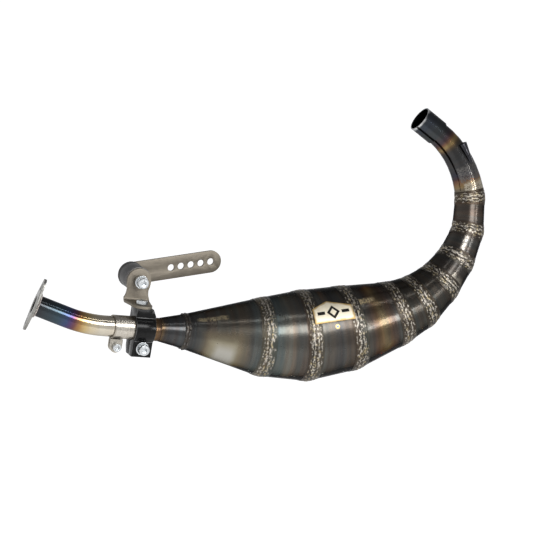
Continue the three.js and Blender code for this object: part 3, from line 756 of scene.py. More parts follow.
def stingerFinish():
    material, wires, shader = newFinish("turnedSleeveSteel")
    place = wires.add("ShaderNodeTexCoord").outputs["Object"]
    along = wires.math("SUBTRACT", wires.split(place)[0], stingerTint["open"])
    cloud = wires.noise(place, 90.0, 3.0)
    waver = wires.math("MULTIPLY", wires.math("SUBTRACT", cloud, 0.5), 0.006)
    share = wires.math("DIVIDE", wires.math("ADD", along, waver), stingerTint["length"])
    stops = [(at / 1000 / stingerTint["length"], colour) for at, colour in stingerTint["colours"]]
    turned = wires.noise(wires.vector("MULTIPLY", place, (1.0, 0.04, 0.04)), 1600.0, 3.0, 0.6)
    colour = wires.ramp(share, stops)
    dull = wires.blend(1.0, colour, (0.72, 0.71, 0.69, 1), "MULTIPLY")
    shade = wires.blend(wires.step(turned, 0.35, 0.65), dull, colour)
    wires.feed(shader.inputs["Base Color"], shade)
    rough = wires.math("ADD", 0.18, wires.math("MULTIPLY", cloud, 0.2))
    wires.feed(shader.inputs["Roughness"], rough)
    setConstants(shader, {"Metallic": 1.0, "Specular Tint": (0.5, 0.5, 0.5, 1)})
    addBump(wires, shader, turned, 0.00008)
    return material


finishes = {
    "chamber": tintedSteel("lacqueredChamberSteel", chamberTint, chamberMarks),
    "baffle": tintedSteel("lacqueredBaffleSteel", chamberTint, baffleMarks),
    "header": tintedSteel("burntHeaderSteel", headerTint, headerMarks),
    "outlet": tintedSteel("tintedOutletTube", outletTint),
    "chamberWeld": weldFinish("dressedWeld", chamberTint, (0.37, 0.34, 0.295), (0.30, 0.245, 0.145)),
    "rootWeld": weldFinish("tintedRootWeld", chamberTint, (0.11, 0.105, 0.10), (0.09, 0.08, 0.06)),
    "outletWeld": plainSteel("flangeWeldMetal", (0.30, 0.27, 0.25), 0.35, grain=0.35),
    "stinger": stingerFinish(),
    "ears": plainSteel("earSteel", (0.36, 0.335, 0.29), 0.44, grain=0.25),
    "pocket": plainSteel("burntPocketSteel", (0.022, 0.022, 0.026), 0.25, grain=0.4, coat=0.2),
    "flange": plainSteel("satinFlangeSteel", (0.24, 0.235, 0.22), 0.38, grain=0.45),
    "disc": plainSteel("dullDiscSteel", (0.12, 0.115, 0.11), 0.45, grain=0.3),
    "bracket": plainSteel(
        "grainedBracketSteel", (0.205, 0.182, 0.148), 0.58, (0.12, 1.0, 1.0), 0.16,
    ),
    "zinc": plainSteel("zincPlate", (0.52, 0.54, 0.55), 0.26, grain=0.18),
    "black": plainSteel(
        "blackAnodised", (0.0035, 0.0035, 0.0035), 0.16, grain=0.3, metal=0.0, gloss=0.14,
    ),
    # grey metal on the clamp's bevels, lighter than its black body
    "greyEdge": plainSteel("greyBevelMetal", (0.10, 0.10, 0.10), 0.40, grain=0.6),
    "rubber": rubberFinish(),
    # painted shadow for the screws' sockets
    "socketPaintedShadow": plainSteel("socketShadow", (0.035, 0.045, 0.055), 0.4, grain=0.3),
}
print("finishes made:", len(finishes))


# Swept sheet: a tube of mitred legs through the stations of a line

def sampled(wires, line, kind, attribute, lower, upper, share):
    data = {"FLOAT": "FLOAT", "VECTOR": "FLOAT_VECTOR"}[kind]
    ends = []
    for index in (lower, upper):
        named = wires.add("GeometryNodeInputNamedAttribute", data_type=data)
        named.inputs["Name"].default_value = attribute
        sample = wires.add("GeometryNodeSampleIndex", data_type=data)
        wires.feed(sample.inputs["Geometry"], line)
        wires.feed(sample.inputs["Value"], named.outputs["Attribute"])
        wires.feed(sample.inputs["Index"], index)
        ends.append(sample.outputs[0])
    if kind == "FLOAT":
        node = wires.add("ShaderNodeMix", data_type="FLOAT")
        a, b = node.inputs[2], node.inputs[3]
        result = node.outputs[0]
    else:
        node = wires.add("ShaderNodeMix", data_type="VECTOR")
        a, b = node.inputs[4], node.inputs[5]
        result = node.outputs[1]
    wires.feed(node.inputs[0], share)
    wires.feed(a, ends[0])
    wires.feed(b, ends[1])
    return result


def store(wires, geometry, kind, attribute, value):
    node = wires.add("GeometryNodeStoreNamedAttribute", data_type=kind, domain="POINT")
    wires.feed(node.inputs["Geometry"], geometry)
    node.inputs["Name"].default_value = attribute
    wires.feed(node.inputs["Value"], value)
    return node.outputs["Geometry"]


def endTree(wires, geometry, material):
    smooth = wires.add("GeometryNodeSetShadeSmooth")
    wires.feed(smooth.inputs["Geometry"], geometry)
    real = wires.add("GeometryNodeRealizeInstances")
    wires.feed(real.inputs[0], smooth.outputs[0])
    coat = wires.add("GeometryNodeSetMaterial")
    wires.feed(coat.inputs["Geometry"], real.outputs[0])
    wires.feed(coat.inputs["Material"], material)
    out = wires.add("NodeGroupOutput")
    wires.feed(out.inputs[0], coat.outputs[0])


def sweptSheetTree():
    tree = newTree("sweptSheet", [
        ("Sides", "Int", 96), ("Rings", "Int", 8),
        ("Unevenness", "Float", 0.0001), ("Material", "Material", None),
    ])
    wires = Wiring(tree)
    given = wires.add("NodeGroupInput").outputs
    tube = wires.add("GeometryNodeMeshCylinder", fill_type="NONE")
    wires.feed(tube.inputs["Vertices"], given["Sides"])
    wires.feed(tube.inputs["Side Segments"], given["Rings"])
    wires.feed(tube.inputs["Radius"], 1.0)
    wires.feed(tube.inputs["Depth"], 1.0)
    spot = wires.split(wires.add("GeometryNodeInputPosition").outputs[0])
    turn = wires.math("ARCTAN2", spot[1], spot[0])
    spread = wires.math("ADD", spot[2], 0.5)
    size = wires.add("GeometryNodeAttributeDomainSize")
    wires.feed(size.inputs[0], given["Geometry"])
    legs = wires.math("SUBTRACT", size.outputs["Point Count"], 1.0)
    travel = wires.math("MULTIPLY", spread, legs)
    passed = wires.math("FLOOR", wires.math("ADD", travel, 0.0001))
    lastLeg = wires.math("SUBTRACT", legs, 1.0)
    lower = wires.math("MAXIMUM", wires.math("MINIMUM", passed, lastLeg), 0.0)
    upper = wires.math("ADD", lower, 1.0)
    share = wires.math("SUBTRACT", travel, lower)
    line = given["Geometry"]
    centre = sampled(wires, line, "VECTOR", "centre", lower, upper, share)
    side = sampled(wires, line, "VECTOR", "sideReach", lower, upper, share)
    outward = sampled(wires, line, "VECTOR", "outwardReach", lower, upper, share)
    along = sampled(wires, line, "FLOAT", "along", lower, upper, share)
    across, up = wires.math("COSINE", turn), wires.math("SINE", turn)
    rim = wires.vector("ADD", wires.vector("SCALE", side, across), wires.vector("SCALE", outward, up))
    reach = wires.vector("LENGTH", side)
    place = wires.join(
        along, wires.math("MULTIPLY", reach, across), wires.math("MULTIPLY", reach, up),
    )
    geometry = store(wires, tube.outputs["Mesh"], "FLOAT_VECTOR", "pipePlace", place)
    geometry = store(wires, geometry, "FLOAT", "spread", spread)
    geometry = store(wires, geometry, "FLOAT_VECTOR", "target", wires.vector("ADD", centre, rim))
    goal = wires.add("GeometryNodeInputNamedAttribute", data_type="FLOAT_VECTOR")
    goal.inputs["Name"].default_value = "target"
    moved = wires.add("GeometryNodeSetPosition")
    wires.feed(moved.inputs["Geometry"], geometry)
    wires.feed(moved.inputs["Position"], goal.outputs["Attribute"])
    skin = wires.add("GeometryNodeInputNamedAttribute", data_type="FLOAT_VECTOR")
    skin.inputs["Name"].default_value = "pipePlace"
    dents = wires.math("SUBTRACT", wires.noise(skin.outputs["Attribute"], 34.0, 1.0), 0.5)
    normal = wires.add("GeometryNodeInputNormal").outputs[0]
    lift = wires.vector("SCALE", normal, wires.math("MULTIPLY", dents, given["Unevenness"]))
    dented = wires.add("GeometryNodeSetPosition")
    wires.feed(dented.inputs["Geometry"], moved.outputs[0])
    wires.feed(dented.inputs["Offset"], lift)
    clean = wires.add("GeometryNodeRemoveAttribute")
    clean.inputs["Name"].default_value = "target"
    wires.feed(clean.inputs["Geometry"], dented.outputs[0])
    endTree(wires, clean.outputs[0], given["Material"])
    return tree


sweptSheet = sweptSheetTree()


# The line that a sheet follows: stations between two distances, its skin lifted by offset
def lineMesh(run, start, end, offset):
    between = [s["at"] for s in run if start + 1e-6 < s["at"] < end - 1e-6]
    places = [stationAt(run, at) for at in (start, *between, end)]
    edges = [(i, i + 1) for i in range(len(places) - 1)]
    mesh = bpy.data.meshes.new("line")
    mesh.from_pydata([p["centre"] for p in places], edges, [])
    values = {"centre": [], "sideReach": [], "outwardReach": []}
    for p in places:
        grow = 1 + offset / p["radius"]
        values["centre"].append(p["centre"])
        values["sideReach"].append(p["sideReach"] * grow)
        values["outwardReach"].append(p["outwardReach"] * grow)
    for label, vectors in values.items():
        layer = mesh.attributes.new(label, "FLOAT_VECTOR", "POINT")
        for item, vector in zip(layer.data, vectors):
            item.vector = vector
    layer = mesh.attributes.new("along", "FLOAT", "POINT")
    for item, p in zip(layer.data, places):
        item.value = p["at"]
    return mesh


# One sheet piece, from start to end along the run; ending is the last part of its name
def sweptPiece(
    node, ending, run, start, end, finish, wall, body,
    offset=0.0, rings=16, sides=112, dents=0.0001,
):
    line = lineMesh(run, start, end, offset)
    legs = len(line.vertices) - 1
    mesh = grown(sweptSheet, line, {
        "Sides": sides,
        "Rings": max(1, round(rings / legs)) * legs,
        "Unevenness": dents,
        "Material": finishes[finish],
    })
    piece = addPiece(node + ending, mesh, body, node)
    solid = piece.modifiers.new("wall", "SOLIDIFY")
    solid.thickness = wall
    solid.offset = -1
    solid.use_even_offset = True
    settle(piece, 40)


def buildChamberSheets():
    half = sizes["gap"] / 2000
    wall = sizes["sheetWall"] / 1000
    for i, cone in enumerate(chamberCones):
        node = cone[0]
        start, end = chamberRun[i]["at"] + half, chamberRun[i + 1]["at"] - half
        isBaffle = node == "baffle_cone"
        finish = "baffle" if isBaffle else "chamber"
        sweptPiece(node, "_sheet", chamberRun, start, end, finish, wall, "chamber")
    start = chamberRun[len(chamberCones)]["at"] + half
    sleeveStart = chamberRun[-2]["at"]
    end = sleeveStart + inletSleeve["overlap"] / 1000
    sweptPiece(
        "header_bend", "_tube", chamberRun, start, end, "header", wall, "chamber",
        rings=32, sides=80,
    )
    sleeveWall = inletSleeve["wall"] / 1000
    sweptPiece(
        "inlet_sleeve", "_tube", chamberRun, sleeveStart, chamberRun[-1]["at"], "header",
        sleeveWall, "chamber",
        offset=sizes["gap"] / 1000 + sleeveWall, rings=8, sides=80, dents=0.0,
    )


buildChamberSheets()
print("chamber sheets swept")


# Dressed welds: bands of wandering ridges over the joints

weldLook = {
    "width": 0.0195,
    "lift": 0.0003,
    "crown": 0.0006,
    "ridges": 4.0,
    "wander": 1.6,
    "rootWidth": 0.007,
    "rootCrown": 0.0015,
    "rootRidges": 1.0,
    "rootWander": 0.4,
    "facet": 0.00075,  # round the pipe
    "ringSpacing": 0.0014,
    "seedStep": 0.13,
    "backing": 0.0002,
}


def wormyWeldTree():
    tree = newTree("wormyWeld", [
        ("Crown", "Float", 0.0008), ("Ridges", "Float", 3.0), ("Wander", "Float", 1.0),
        ("Seed", "Float", 0.0), ("Material", "Material", None),
    ])
    wires = Wiring(tree)
    given = wires.add("NodeGroupInput").outputs
    spreadNode = wires.add("GeometryNodeInputNamedAttribute", data_type="FLOAT")
    spreadNode.inputs["Name"].default_value = "spread"
    spread = spreadNode.outputs["Attribute"]
    placeNode = wires.add("GeometryNodeInputNamedAttribute", data_type="FLOAT_VECTOR")
    placeNode.inputs["Name"].default_value = "pipePlace"
    place = wires.vector("ADD", placeNode.outputs["Attribute"], wires.join(given["Seed"], 0.0, 0.0))
    across = wires.math("SUBTRACT", wires.math("MULTIPLY", spread, 2.0), 1.0)
    fray = wires.math("SUBTRACT", wires.noise(place, 230.0, 3.0, 0.6), 0.5)
    ragged = wires.math("MULTIPLY", fray, 0.9)
    edge = wires.math("ADD", wires.math("ABSOLUTE", across), ragged)
    body = wires.math("SUBTRACT", 1.0, wires.step(edge, 0.55, 0.90))
    drift = wires.math("SUBTRACT", wires.noise(place, 130.0, 2.0, 0.5), 0.5)
    bent = wires.math("MULTIPLY", drift, given["Wander"])
    rows = wires.math("MULTIPLY", wires.math("MULTIPLY", across, given["Ridges"]), 0.5)
    lane = wires.math("ADD", rows, bent)
    wave = wires.math("ABSOLUTE", wires.math("SINE", wires.math("MULTIPLY", lane, math.pi)))
    torn = wires.noise(wires.vector("MULTIPLY", place, (3.0, 1.0, 1.0)), 300.0, 3.0, 0.62)
    chips = wires.step(torn, 0.38, 0.66)
    level = wires.math(
        "MULTIPLY",
        wires.math("ADD", 0.14, wires.math("MULTIPLY", wave, 0.90)),
        wires.math("ADD", 0.12, wires.math("MULTIPLY", chips, 0.98)),
    )
    height = wires.math("MULTIPLY", wires.math("MULTIPLY", level, body), 1.15, clamp=True)
    geometry = store(wires, given["Geometry"], "FLOAT", "ridge", height)
    ridgeNode = wires.add("GeometryNodeInputNamedAttribute", data_type="FLOAT")
    ridgeNode.inputs["Name"].default_value = "ridge"
    rise = wires.math("MULTIPLY", ridgeNode.outputs["Attribute"], given["Crown"])
    lifted = wires.add("GeometryNodeSetPosition")
    wires.feed(lifted.inputs["Geometry"], geometry)
    normal = wires.add("GeometryNodeInputNormal").outputs[0]
    wires.feed(lifted.inputs["Offset"], wires.vector("SCALE", normal, rise))
    endTree(wires, lifted.outputs[0], given["Material"])
    return tree


def buildWelds():
    tree = wormyWeldTree()
    look = weldLook
    for i, station in enumerate(chamberRun[1:len(chamberCones) + 1]):
        isRoot = i == 0
        width = look["rootWidth"] if isRoot else look["width"]
        finish = finishes["rootWeld" if isRoot else "chamberWeld"]
        start, end = station["at"] - width / 2, station["at"] + width / 2
        band = grown(sweptSheet, lineMesh(chamberRun, start, end, look["lift"]), {
            "Sides": int(2 * math.pi * station["radius"] / look["facet"]),
            "Rings": 2 * round(width / look["ringSpacing"]),
            "Unevenness": 0.0,
            "Material": finish,
        })
        mesh = grown(tree, band, {
            "Crown": look["rootCrown"] if isRoot else look["crown"],
            "Ridges": look["rootRidges"] if isRoot else look["ridges"],
            "Wander": look["rootWander"] if isRoot else look["wander"],
            "Seed": look["seedStep"] * i,
            "Material": finish,
        })
        name = f"weld_seam_{i + 1}"
        piece = addPiece(name + "_bead", mesh, "chamber", name)
        back = piece.modifiers.new("back", "SOLIDIFY")
        back.thickness = look["backing"]
        back.offset = -1
        settle(piece, 60)


buildWelds()
print("welds laid")


# Pieces that keep their solid's shape and get rounded edges; the clamp's bevels take a grey metal
# finish

def mergedCopy(node):
    mesh = nodes[node].data.copy()
    shape = bmesh.new()
    shape.from_mesh(mesh)
    bmesh.ops.remove_doubles(shape, verts=shape.verts, dist=1e-6)
    shape.to_mesh(mesh)
    shape.free()
    mesh.materials.clear()
    return mesh


bevelAngle = 40  # degrees; gentler edges stay as they are


def dressedCopy(node, finish, slot, body, edge, edgeFinish):
    mesh = mergedCopy(node)
    mesh.materials.append(finishes[finish])
    piece = addPiece(node + "_dressed", mesh, body, node)
    bevel = piece.modifiers.new("edge", "BEVEL")
    bevel.width = edge
    bevel.segments = 2
    bevel.limit_method = "ANGLE"
    bevel.angle_limit = math.radians(bevelAngle)
    if edgeFinish:
        mesh.materials.append(finishes[edgeFinish])
        bevel.material = 1
    settle(piece, bevelAngle - 5)


dressed = [  # node, finish, slot, body, edge in metres, finish of the bevelled edge
    ("stinger_tube", "stinger", "bright_steel", "chamber", 0.00025, None),
    ("pinch_ear_front", "ears", "bright_steel", "chamber", 0.0004, None),
    ("pinch_ear_rear", "ears", "bright_steel", "chamber", 0.0004, None),
    ("pinch_nut", "zinc", "zinc_steel", "chamber", 0.0004, None),
    ("outlet_flange", "flange", "flange_steel", "outlet", 0.0004, None),
    ("clamp_block", "black", "black_aluminium", "clamp", 0.0005, "greyEdge"),
    ("clamp_washer", "zinc", "zinc_steel", "clamp", 0.0002, None),
    ("hanger_bracket", "bracket", "bracket_steel", "hanger", 0.0005, None),
    ("pivot_nut", "zinc", "zinc_steel", "hanger", 0.0005, None),
    ("pivot_washer", "zinc", "zinc_steel", "hanger", 0.0002, None),
    ("mount_disc_front", "disc", "zinc_steel", "arm", 0.0003, None),
    ("mount_disc_rear", "disc", "zinc_steel", "arm", 0.0003, None),
    ("arm_washer", "zinc", "zinc_steel", "arm", 0.0002, None),
    ("arm_nut", "zinc", "zinc_steel", "arm", 0.0005, None),
    ("mount_stud", "zinc", "zinc_steel", "arm", 0.0003, None),
    ("spring_pocket", "pocket", "header_steel", "chamber", 0.0002, None),
]

for item in dressed:
    dressedCopy(*item)
print("plates, clamp and nuts dressed")


# Outlet pipe and its weld

def buildOutletPipe():
    wall = sizes["tubeWall"] / 1000
    end = outletRun[-1]
    sweptPiece(
        "outlet_pipe", "_tube", outletRun, 0, end["at"], "outlet", wall, "outlet",
        rings=40, sides=72, dents=0.0,
    )


# A row of overlapping drops round a joint
def beadRowTree():
    tree = newTree("beadRow", [
        ("Radius", "Float", 0.013), ("Drops", "Int", 30),
        ("Drop Size", "Float", 0.0015), ("Material", "Material", None),
    ])
    wires = Wiring(tree)
    given = wires.add("NodeGroupInput").outputs
    ring = wires.add("GeometryNodeMeshCircle")
    wires.feed(ring.inputs["Vertices"], given["Drops"])
    wires.feed(ring.inputs["Radius"], given["Radius"])
    drop = wires.add("GeometryNodeMeshUVSphere")
    drop.inputs["Segments"].default_value = 12
    drop.inputs["Rings"].default_value = 8
    wires.feed(drop.inputs["Radius"], given["Drop Size"])
    size = wires.add("FunctionNodeRandomValue", data_type="FLOAT")
    size.inputs[2].default_value = 0.9
    size.inputs[3].default_value = 1.1
    size.inputs["Seed"].default_value = 4
    rows = wires.add("GeometryNodeInstanceOnPoints")
    wires.feed(rows.inputs["Points"], ring.outputs["Mesh"])
    wires.feed(rows.inputs["Instance"], drop.outputs["Mesh"])
    wires.feed(rows.inputs["Scale"], wires.join(size.outputs[1], size.outputs[1], size.outputs[1]))
    endTree(wires, rows.outputs[0], given["Material"])
    return tree


# Stands a shape at centre with its z along the given way and its y nearest to up
def standAt(centre, along, up):
    up = (up - along * up.dot(along)).normalized()
    stand = Matrix((up.cross(along), up, along)).transposed().to_4x4()
    stand.translation = centre
    return stand


flangeWeldLook = {"drops": 44, "dropSize": 0.00145, "outset": 0.0010, "setBack": 0.0012}


def buildFlangeWeld():
    end = outletRun[-1]
    look = flangeWeldLook
    mesh = grown(beadRowTree(), bpy.data.meshes.new("blank"), {
        "Radius": sizes["outletDiameter"] / 2000 + look["outset"],
        "Drops": look["drops"],
        "Drop Size": look["dropSize"],
        "Material": finishes["outletWeld"],
    })
    centre = end["centre"] - end["along"] * look["setBack"]
    mesh.transform(standAt(centre, end["along"], Vector((0, 0, 1))))
    addPiece("flange_weld_row", mesh, "outlet", "flange_weld")


buildOutletPipe()
buildFlangeWeld()
print("outlet pipe built")


# Screws: socket heads with a knurled rim

screwSizes = {  # shank, head, head height, socket, socket depth, in metres
    "m8": (0.008, 0.013, 0.008, 0.006, 0.004),
    "m8Low": (0.008, 0.013, 0.005, 0.005, 0.0025),
    "m6": (0.006, 0.010, 0.006, 0.005, 0.003),
}

screwLook = {  # ease and rib sizes are shares of the head's width or height
    "sides": 72,
    "ease": 0.045,
    "tipChamfer": 0.0006,
    "socketMouth": 1.22,
    "socketChamfer": 0.0003,
    "ribs": 64,
    "ribWidth": 0.032,
    "ribHeight": 0.72,
    "ribLift": 0.47,
    "ribSink": 0.00005,
}


def knurlTree():
    tree = newTree("knurl", [
        ("Radius", "Float", 0.0065), ("Ribs", "Int", 60), ("Rib Width", "Float", 0.0004),
        ("Height", "Float", 0.006), ("Lift", "Float", 0.001), ("Material", "Material", None),
    ])
    wires = Wiring(tree)
    given = wires.add("NodeGroupInput").outputs
    ring = wires.add("GeometryNodeMeshCircle")
    wires.feed(ring.inputs["Vertices"], given["Ribs"])
    wires.feed(ring.inputs["Radius"], given["Radius"])
    rib = wires.add("GeometryNodeMeshCylinder")
    rib.inputs["Vertices"].default_value = 5
    wires.feed(rib.inputs["Radius"], wires.math("MULTIPLY", given["Rib Width"], 0.5))
    wires.feed(rib.inputs["Depth"], given["Height"])
    rows = wires.add("GeometryNodeInstanceOnPoints")
    wires.feed(rows.inputs["Points"], ring.outputs["Mesh"])
    wires.feed(rows.inputs["Instance"], rib.outputs["Mesh"])
    raised = wires.add("GeometryNodeTransform")
    wires.feed(raised.inputs["Geometry"], rows.outputs[0])
    wires.feed(raised.inputs["Translation"], wires.join(0.0, 0.0, given["Lift"]))
    both = wires.add("GeometryNodeJoinGeometry")
    wires.tree.links.new(given["Geometry"], both.inputs[0])
    wires.tree.links.new(raised.outputs[0], both.inputs[0])
    endTree(wires, both.outputs[0], given["Material"])
    return tree


knurl = knurlTree()


def ringOf(shape, sides, radiusAt, height):
    ring = []
    for k in range(sides):
        angle = 2 * math.pi * k / sides
        radius = radiusAt(angle)
        ring.append(shape.verts.new((radius * math.cos(angle), radius * math.sin(angle), height)))
    return ring


def bridge(shape, low, high):
    for k in range(len(low)):
        after = (k + 1) % len(low)
        shape.faces.new((low[k], low[after], high[after], high[k]))


# Head above z = 0 and shank below it; the profile runs from the shank's tip to the socket's floor
def screwMesh(size, length):
    shank, head, headHeight, socket, socketDepth = screwSizes[size]
    shape = bmesh.new()

    def roundOf(radius):
        return lambda angle: radius

    def hexOf(acrossFlats):
        sector = math.pi / 3
        return lambda angle: (
            acrossFlats / 2 / math.cos((angle + math.pi / 6) % sector - math.pi / 6)
        )

    ease = head * screwLook["ease"]
    tip = screwLook["tipChamfer"]
    profile = [
        (roundOf(shank / 2 - tip), -length),
        (roundOf(shank / 2), -length + tip),
        (roundOf(shank / 2), 0),
        (roundOf(head / 2 - ease), 0),
        (roundOf(head / 2), ease),
        (roundOf(head / 2), headHeight - 2 * ease),
        (roundOf(head / 2 - ease * 0.4), headHeight - ease * 0.5),
        (roundOf(head / 2 - ease * 1.2), headHeight),
        (roundOf(socket / 2 * screwLook["socketMouth"]), headHeight),
        (hexOf(socket), headHeight - screwLook["socketChamfer"]),
        (hexOf(socket), headHeight - socketDepth),
    ]
    rings = [ringOf(shape, screwLook["sides"], radiusAt, z) for radiusAt, z in profile]
    for low, high in zip(rings, rings[1:]):
        bridge(shape, low, high)
    shape.faces.new(list(reversed(rings[0])))
    shape.faces.new(rings[-1])
    bmesh.ops.recalc_face_normals(shape, faces=shape.faces)
    mesh = bpy.data.meshes.new("screw")
    shape.to_mesh(mesh)
    shape.free()
    return mesh


# Paints the socket's walls and floor darker: a painted shadow inside the socket
def shadeSocket(mesh, size):
    headHeight, socket, depth = screwSizes[size][2:]
    mesh.materials.append(finishes["socketPaintedShadow"])
    for face in mesh.polygons:
        middle = face.center
        inside = math.hypot(middle.x, middle.y) < socket * 0.60
        if inside and headHeight - depth - 1e-5 <= middle.z < headHeight - 0.0002:
            face.material_index = 1


# The screw fills its node's box; its head is at the end that way points to
def buildScrew(node, size, body, way):
    low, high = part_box(node)
    axis = Vector(way)
    index = max(range(3), key=lambda k: abs(axis[k]))
    head, headHeight = screwSizes[size][1:3]
    full = high[index] - low[index]
    top = high[index] if axis[index] > 0 else low[index]
    seat = (Vector(low) + Vector(high)) / 2
    seat[index] = top - math.copysign(headHeight, axis[index])
    mesh = grown(knurl, screwMesh(size, full - headHeight), {
        "Radius": head / 2 - screwLook["ribSink"],
        "Ribs": screwLook["ribs"],
        "Rib Width": head * screwLook["ribWidth"],
        "Height": headHeight * screwLook["ribHeight"],
        "Lift": headHeight * screwLook["ribLift"],
        "Material": finishes["zinc"],
    })
    reference = Vector((0, 0, 1)) if index != 2 else Vector((1, 0, 0))
    shadeSocket(mesh, size)
    mesh.transform(standAt(seat, axis, reference))
    piece = addPiece(node + "_knurled", mesh, body, node)
    piece.data.shade_smooth()
    piece.data.set_sharp_from_angle(angle=math.radians(30))


buildScrew("clamp_screw", "m8", "clamp", (0, -1, 0))
buildScrew("pivot_screw", "m8", "hanger", (0, -1, 0))
buildScrew("foot_screw", "m8Low", "clamp", (0, 0, 1))
buildScrew("pinch_screw", "m6", "chamber", (0, -1, 0))
print("screws built")


# Rubber mount: a barrel-sided block with lips bonded to its discs

rubberLook = {
    "sides": 96,
    "bulge": 0.0006,
    "lip": 0.0012,
    "waist": 0.0005,  # how far the block draws in behind its lips
    "bulgeDip": 0.0007,
    "bulgeSteps": 12,
    "studHole": 0.0044,
    "studDepth": 0.016,
    "backHole": 0.002,
}


def buildRubber():
    low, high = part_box("rubber_mount")
    look = rubberLook
    length = high[1] - low[1]
    radius = (high[0] - low[0]) / 2 - look["bulge"] * 0.2
    shape = bmesh.new()
    lip = look["lip"]
    waist = radius - look["waist"]
    profile = [
        (look["studHole"], look["studDepth"]),
        (look["studHole"], 0.0),
        (radius - lip * 0.3, 0.0),
        (radius, lip * 0.4),
        (radius, lip),
        (waist, lip * 1.7),
    ]
    for i in range(1, look["bulgeSteps"]):
        share = i / look["bulgeSteps"]
        swell = look["bulge"] * math.sin(math.pi * share) - look["bulgeDip"]
        profile.append((radius + swell, lip * 1.7 + (length - lip * 3.4) * share))
    profile += [
        (waist, length - lip * 1.7),
        (radius, length - lip),
        (radius, length - lip * 0.4),
        (radius - lip * 0.3, length),
        (look["backHole"], length),
    ]
    rings = [ringOf(shape, look["sides"], lambda angle, r=r: r, z) for r, z in profile]
    for a, b in zip(rings, rings[1:]):
        bridge(shape, a, b)
    shape.faces.new(rings[0])
    shape.faces.new(rings[-1])
    bmesh.ops.recalc_face_normals(shape, faces=shape.faces)
    mesh = bpy.data.meshes.new("rubber")
    shape.to_mesh(mesh)
    shape.free()
    mesh.materials.append(finishes["rubber"])
    seat = Vector(((low[0] + high[0]) / 2, low[1], (low[2] + high[2]) / 2))
    mesh.transform(standAt(seat, Vector((0, 1, 0)), Vector((0, 0, 1))))
    piece = addPiece("rubber_mount_block", mesh, "arm", "rubber_mount")
    piece.data.shade_smooth()
    piece.data.set_sharp_from_angle(angle=math.radians(50))


buildRubber()


# Hole-strip arm: a round-ended strip with a row of holes

armLook = {  # millimetres and degrees
    "width": 28,
    "pivotHole": 8.7,
    "firstHole": 53,
    "pitch": 13,
    "holes": 5,
    "hole": 8.5,
    "angle": 13.2,
    "edge": 0.45,
}


def holeStripTree():
    tree = newTree("holeStrip", [
        ("Width", "Float", 0.028), ("Length", "Float", 0.105), ("Thickness", "Float", 0.003),
        ("First Hole", "Float", 0.053), ("Pitch", "Float", 0.013), ("Holes", "Int", 5),
        ("Hole", "Float", 0.0085), ("Pivot Hole", "Float", 0.0087), ("Material", "Material", None),
    ])
    wires = Wiring(tree)
    given = wires.add("NodeGroupInput").outputs

    def disc(diameter, sides):
        node = wires.add("GeometryNodeCurvePrimitiveCircle")
        node.inputs["Resolution"].default_value = sides
        wires.feed(node.inputs["Radius"], wires.math("MULTIPLY", diameter, 0.5))
        return node.outputs[0]

    # The outline is a circle pulled out into a round-ended slot
    outline = disc(given["Width"], 96)
    spot = wires.add("GeometryNodeInputPosition").outputs[0]
    isFar = wires.math("GREATER_THAN", wires.split(spot)[0], 0.00001)
    stretched = wires.add("GeometryNodeSetPosition")
    wires.feed(stretched.inputs["Geometry"], outline)
    pull = wires.math("MULTIPLY", isFar, given["Length"])
    wires.feed(stretched.inputs["Offset"], wires.join(pull, 0.0, 0.0))
    row = wires.add("GeometryNodeMeshLine")
    wires.feed(row.inputs["Count"], given["Holes"])
    wires.feed(row.inputs["Start Location"], wires.join(given["First Hole"], 0.0, 0.0))
    wires.feed(row.inputs["Offset"], wires.join(given["Pitch"], 0.0, 0.0))
    holes = wires.add("GeometryNodeInstanceOnPoints")
    wires.feed(holes.inputs["Points"], row.outputs[0])
    wires.feed(holes.inputs["Instance"], disc(given["Hole"], 48))
    everything = wires.add("GeometryNodeJoinGeometry")
    for part in (stretched.outputs[0], holes.outputs[0], disc(given["Pivot Hole"], 48)):
        wires.tree.links.new(part, everything.inputs[0])
    loops = wires.add("GeometryNodeRealizeInstances")
    wires.feed(loops.inputs[0], everything.outputs[0])
    filled = wires.add("GeometryNodeFillCurve", mode="NGONS")
    wires.feed(filled.inputs[0], loops.outputs[0])
    thick = wires.add("GeometryNodeExtrudeMesh")
    wires.feed(thick.inputs["Mesh"], filled.outputs[0])
    wires.feed(thick.inputs["Offset"], (0.0, 0.0, 1.0))
    wires.feed(thick.inputs["Offset Scale"], given["Thickness"])
    thick.inputs["Individual"].default_value = False
    flipped = wires.add("GeometryNodeFlipFaces")
    wires.feed(flipped.inputs[0], filled.outputs[0])
    closed = wires.add("GeometryNodeJoinGeometry")
    wires.tree.links.new(thick.outputs[0], closed.inputs[0])
    wires.tree.links.new(flipped.outputs[0], closed.inputs[0])
    merged = wires.add("GeometryNodeMergeByDistance")
    wires.feed(merged.inputs["Geometry"], closed.outputs[0])
    merged.inputs["Distance"].default_value = 0.000001
    endTree(wires, merged.outputs[0], given["Material"])
    return tree


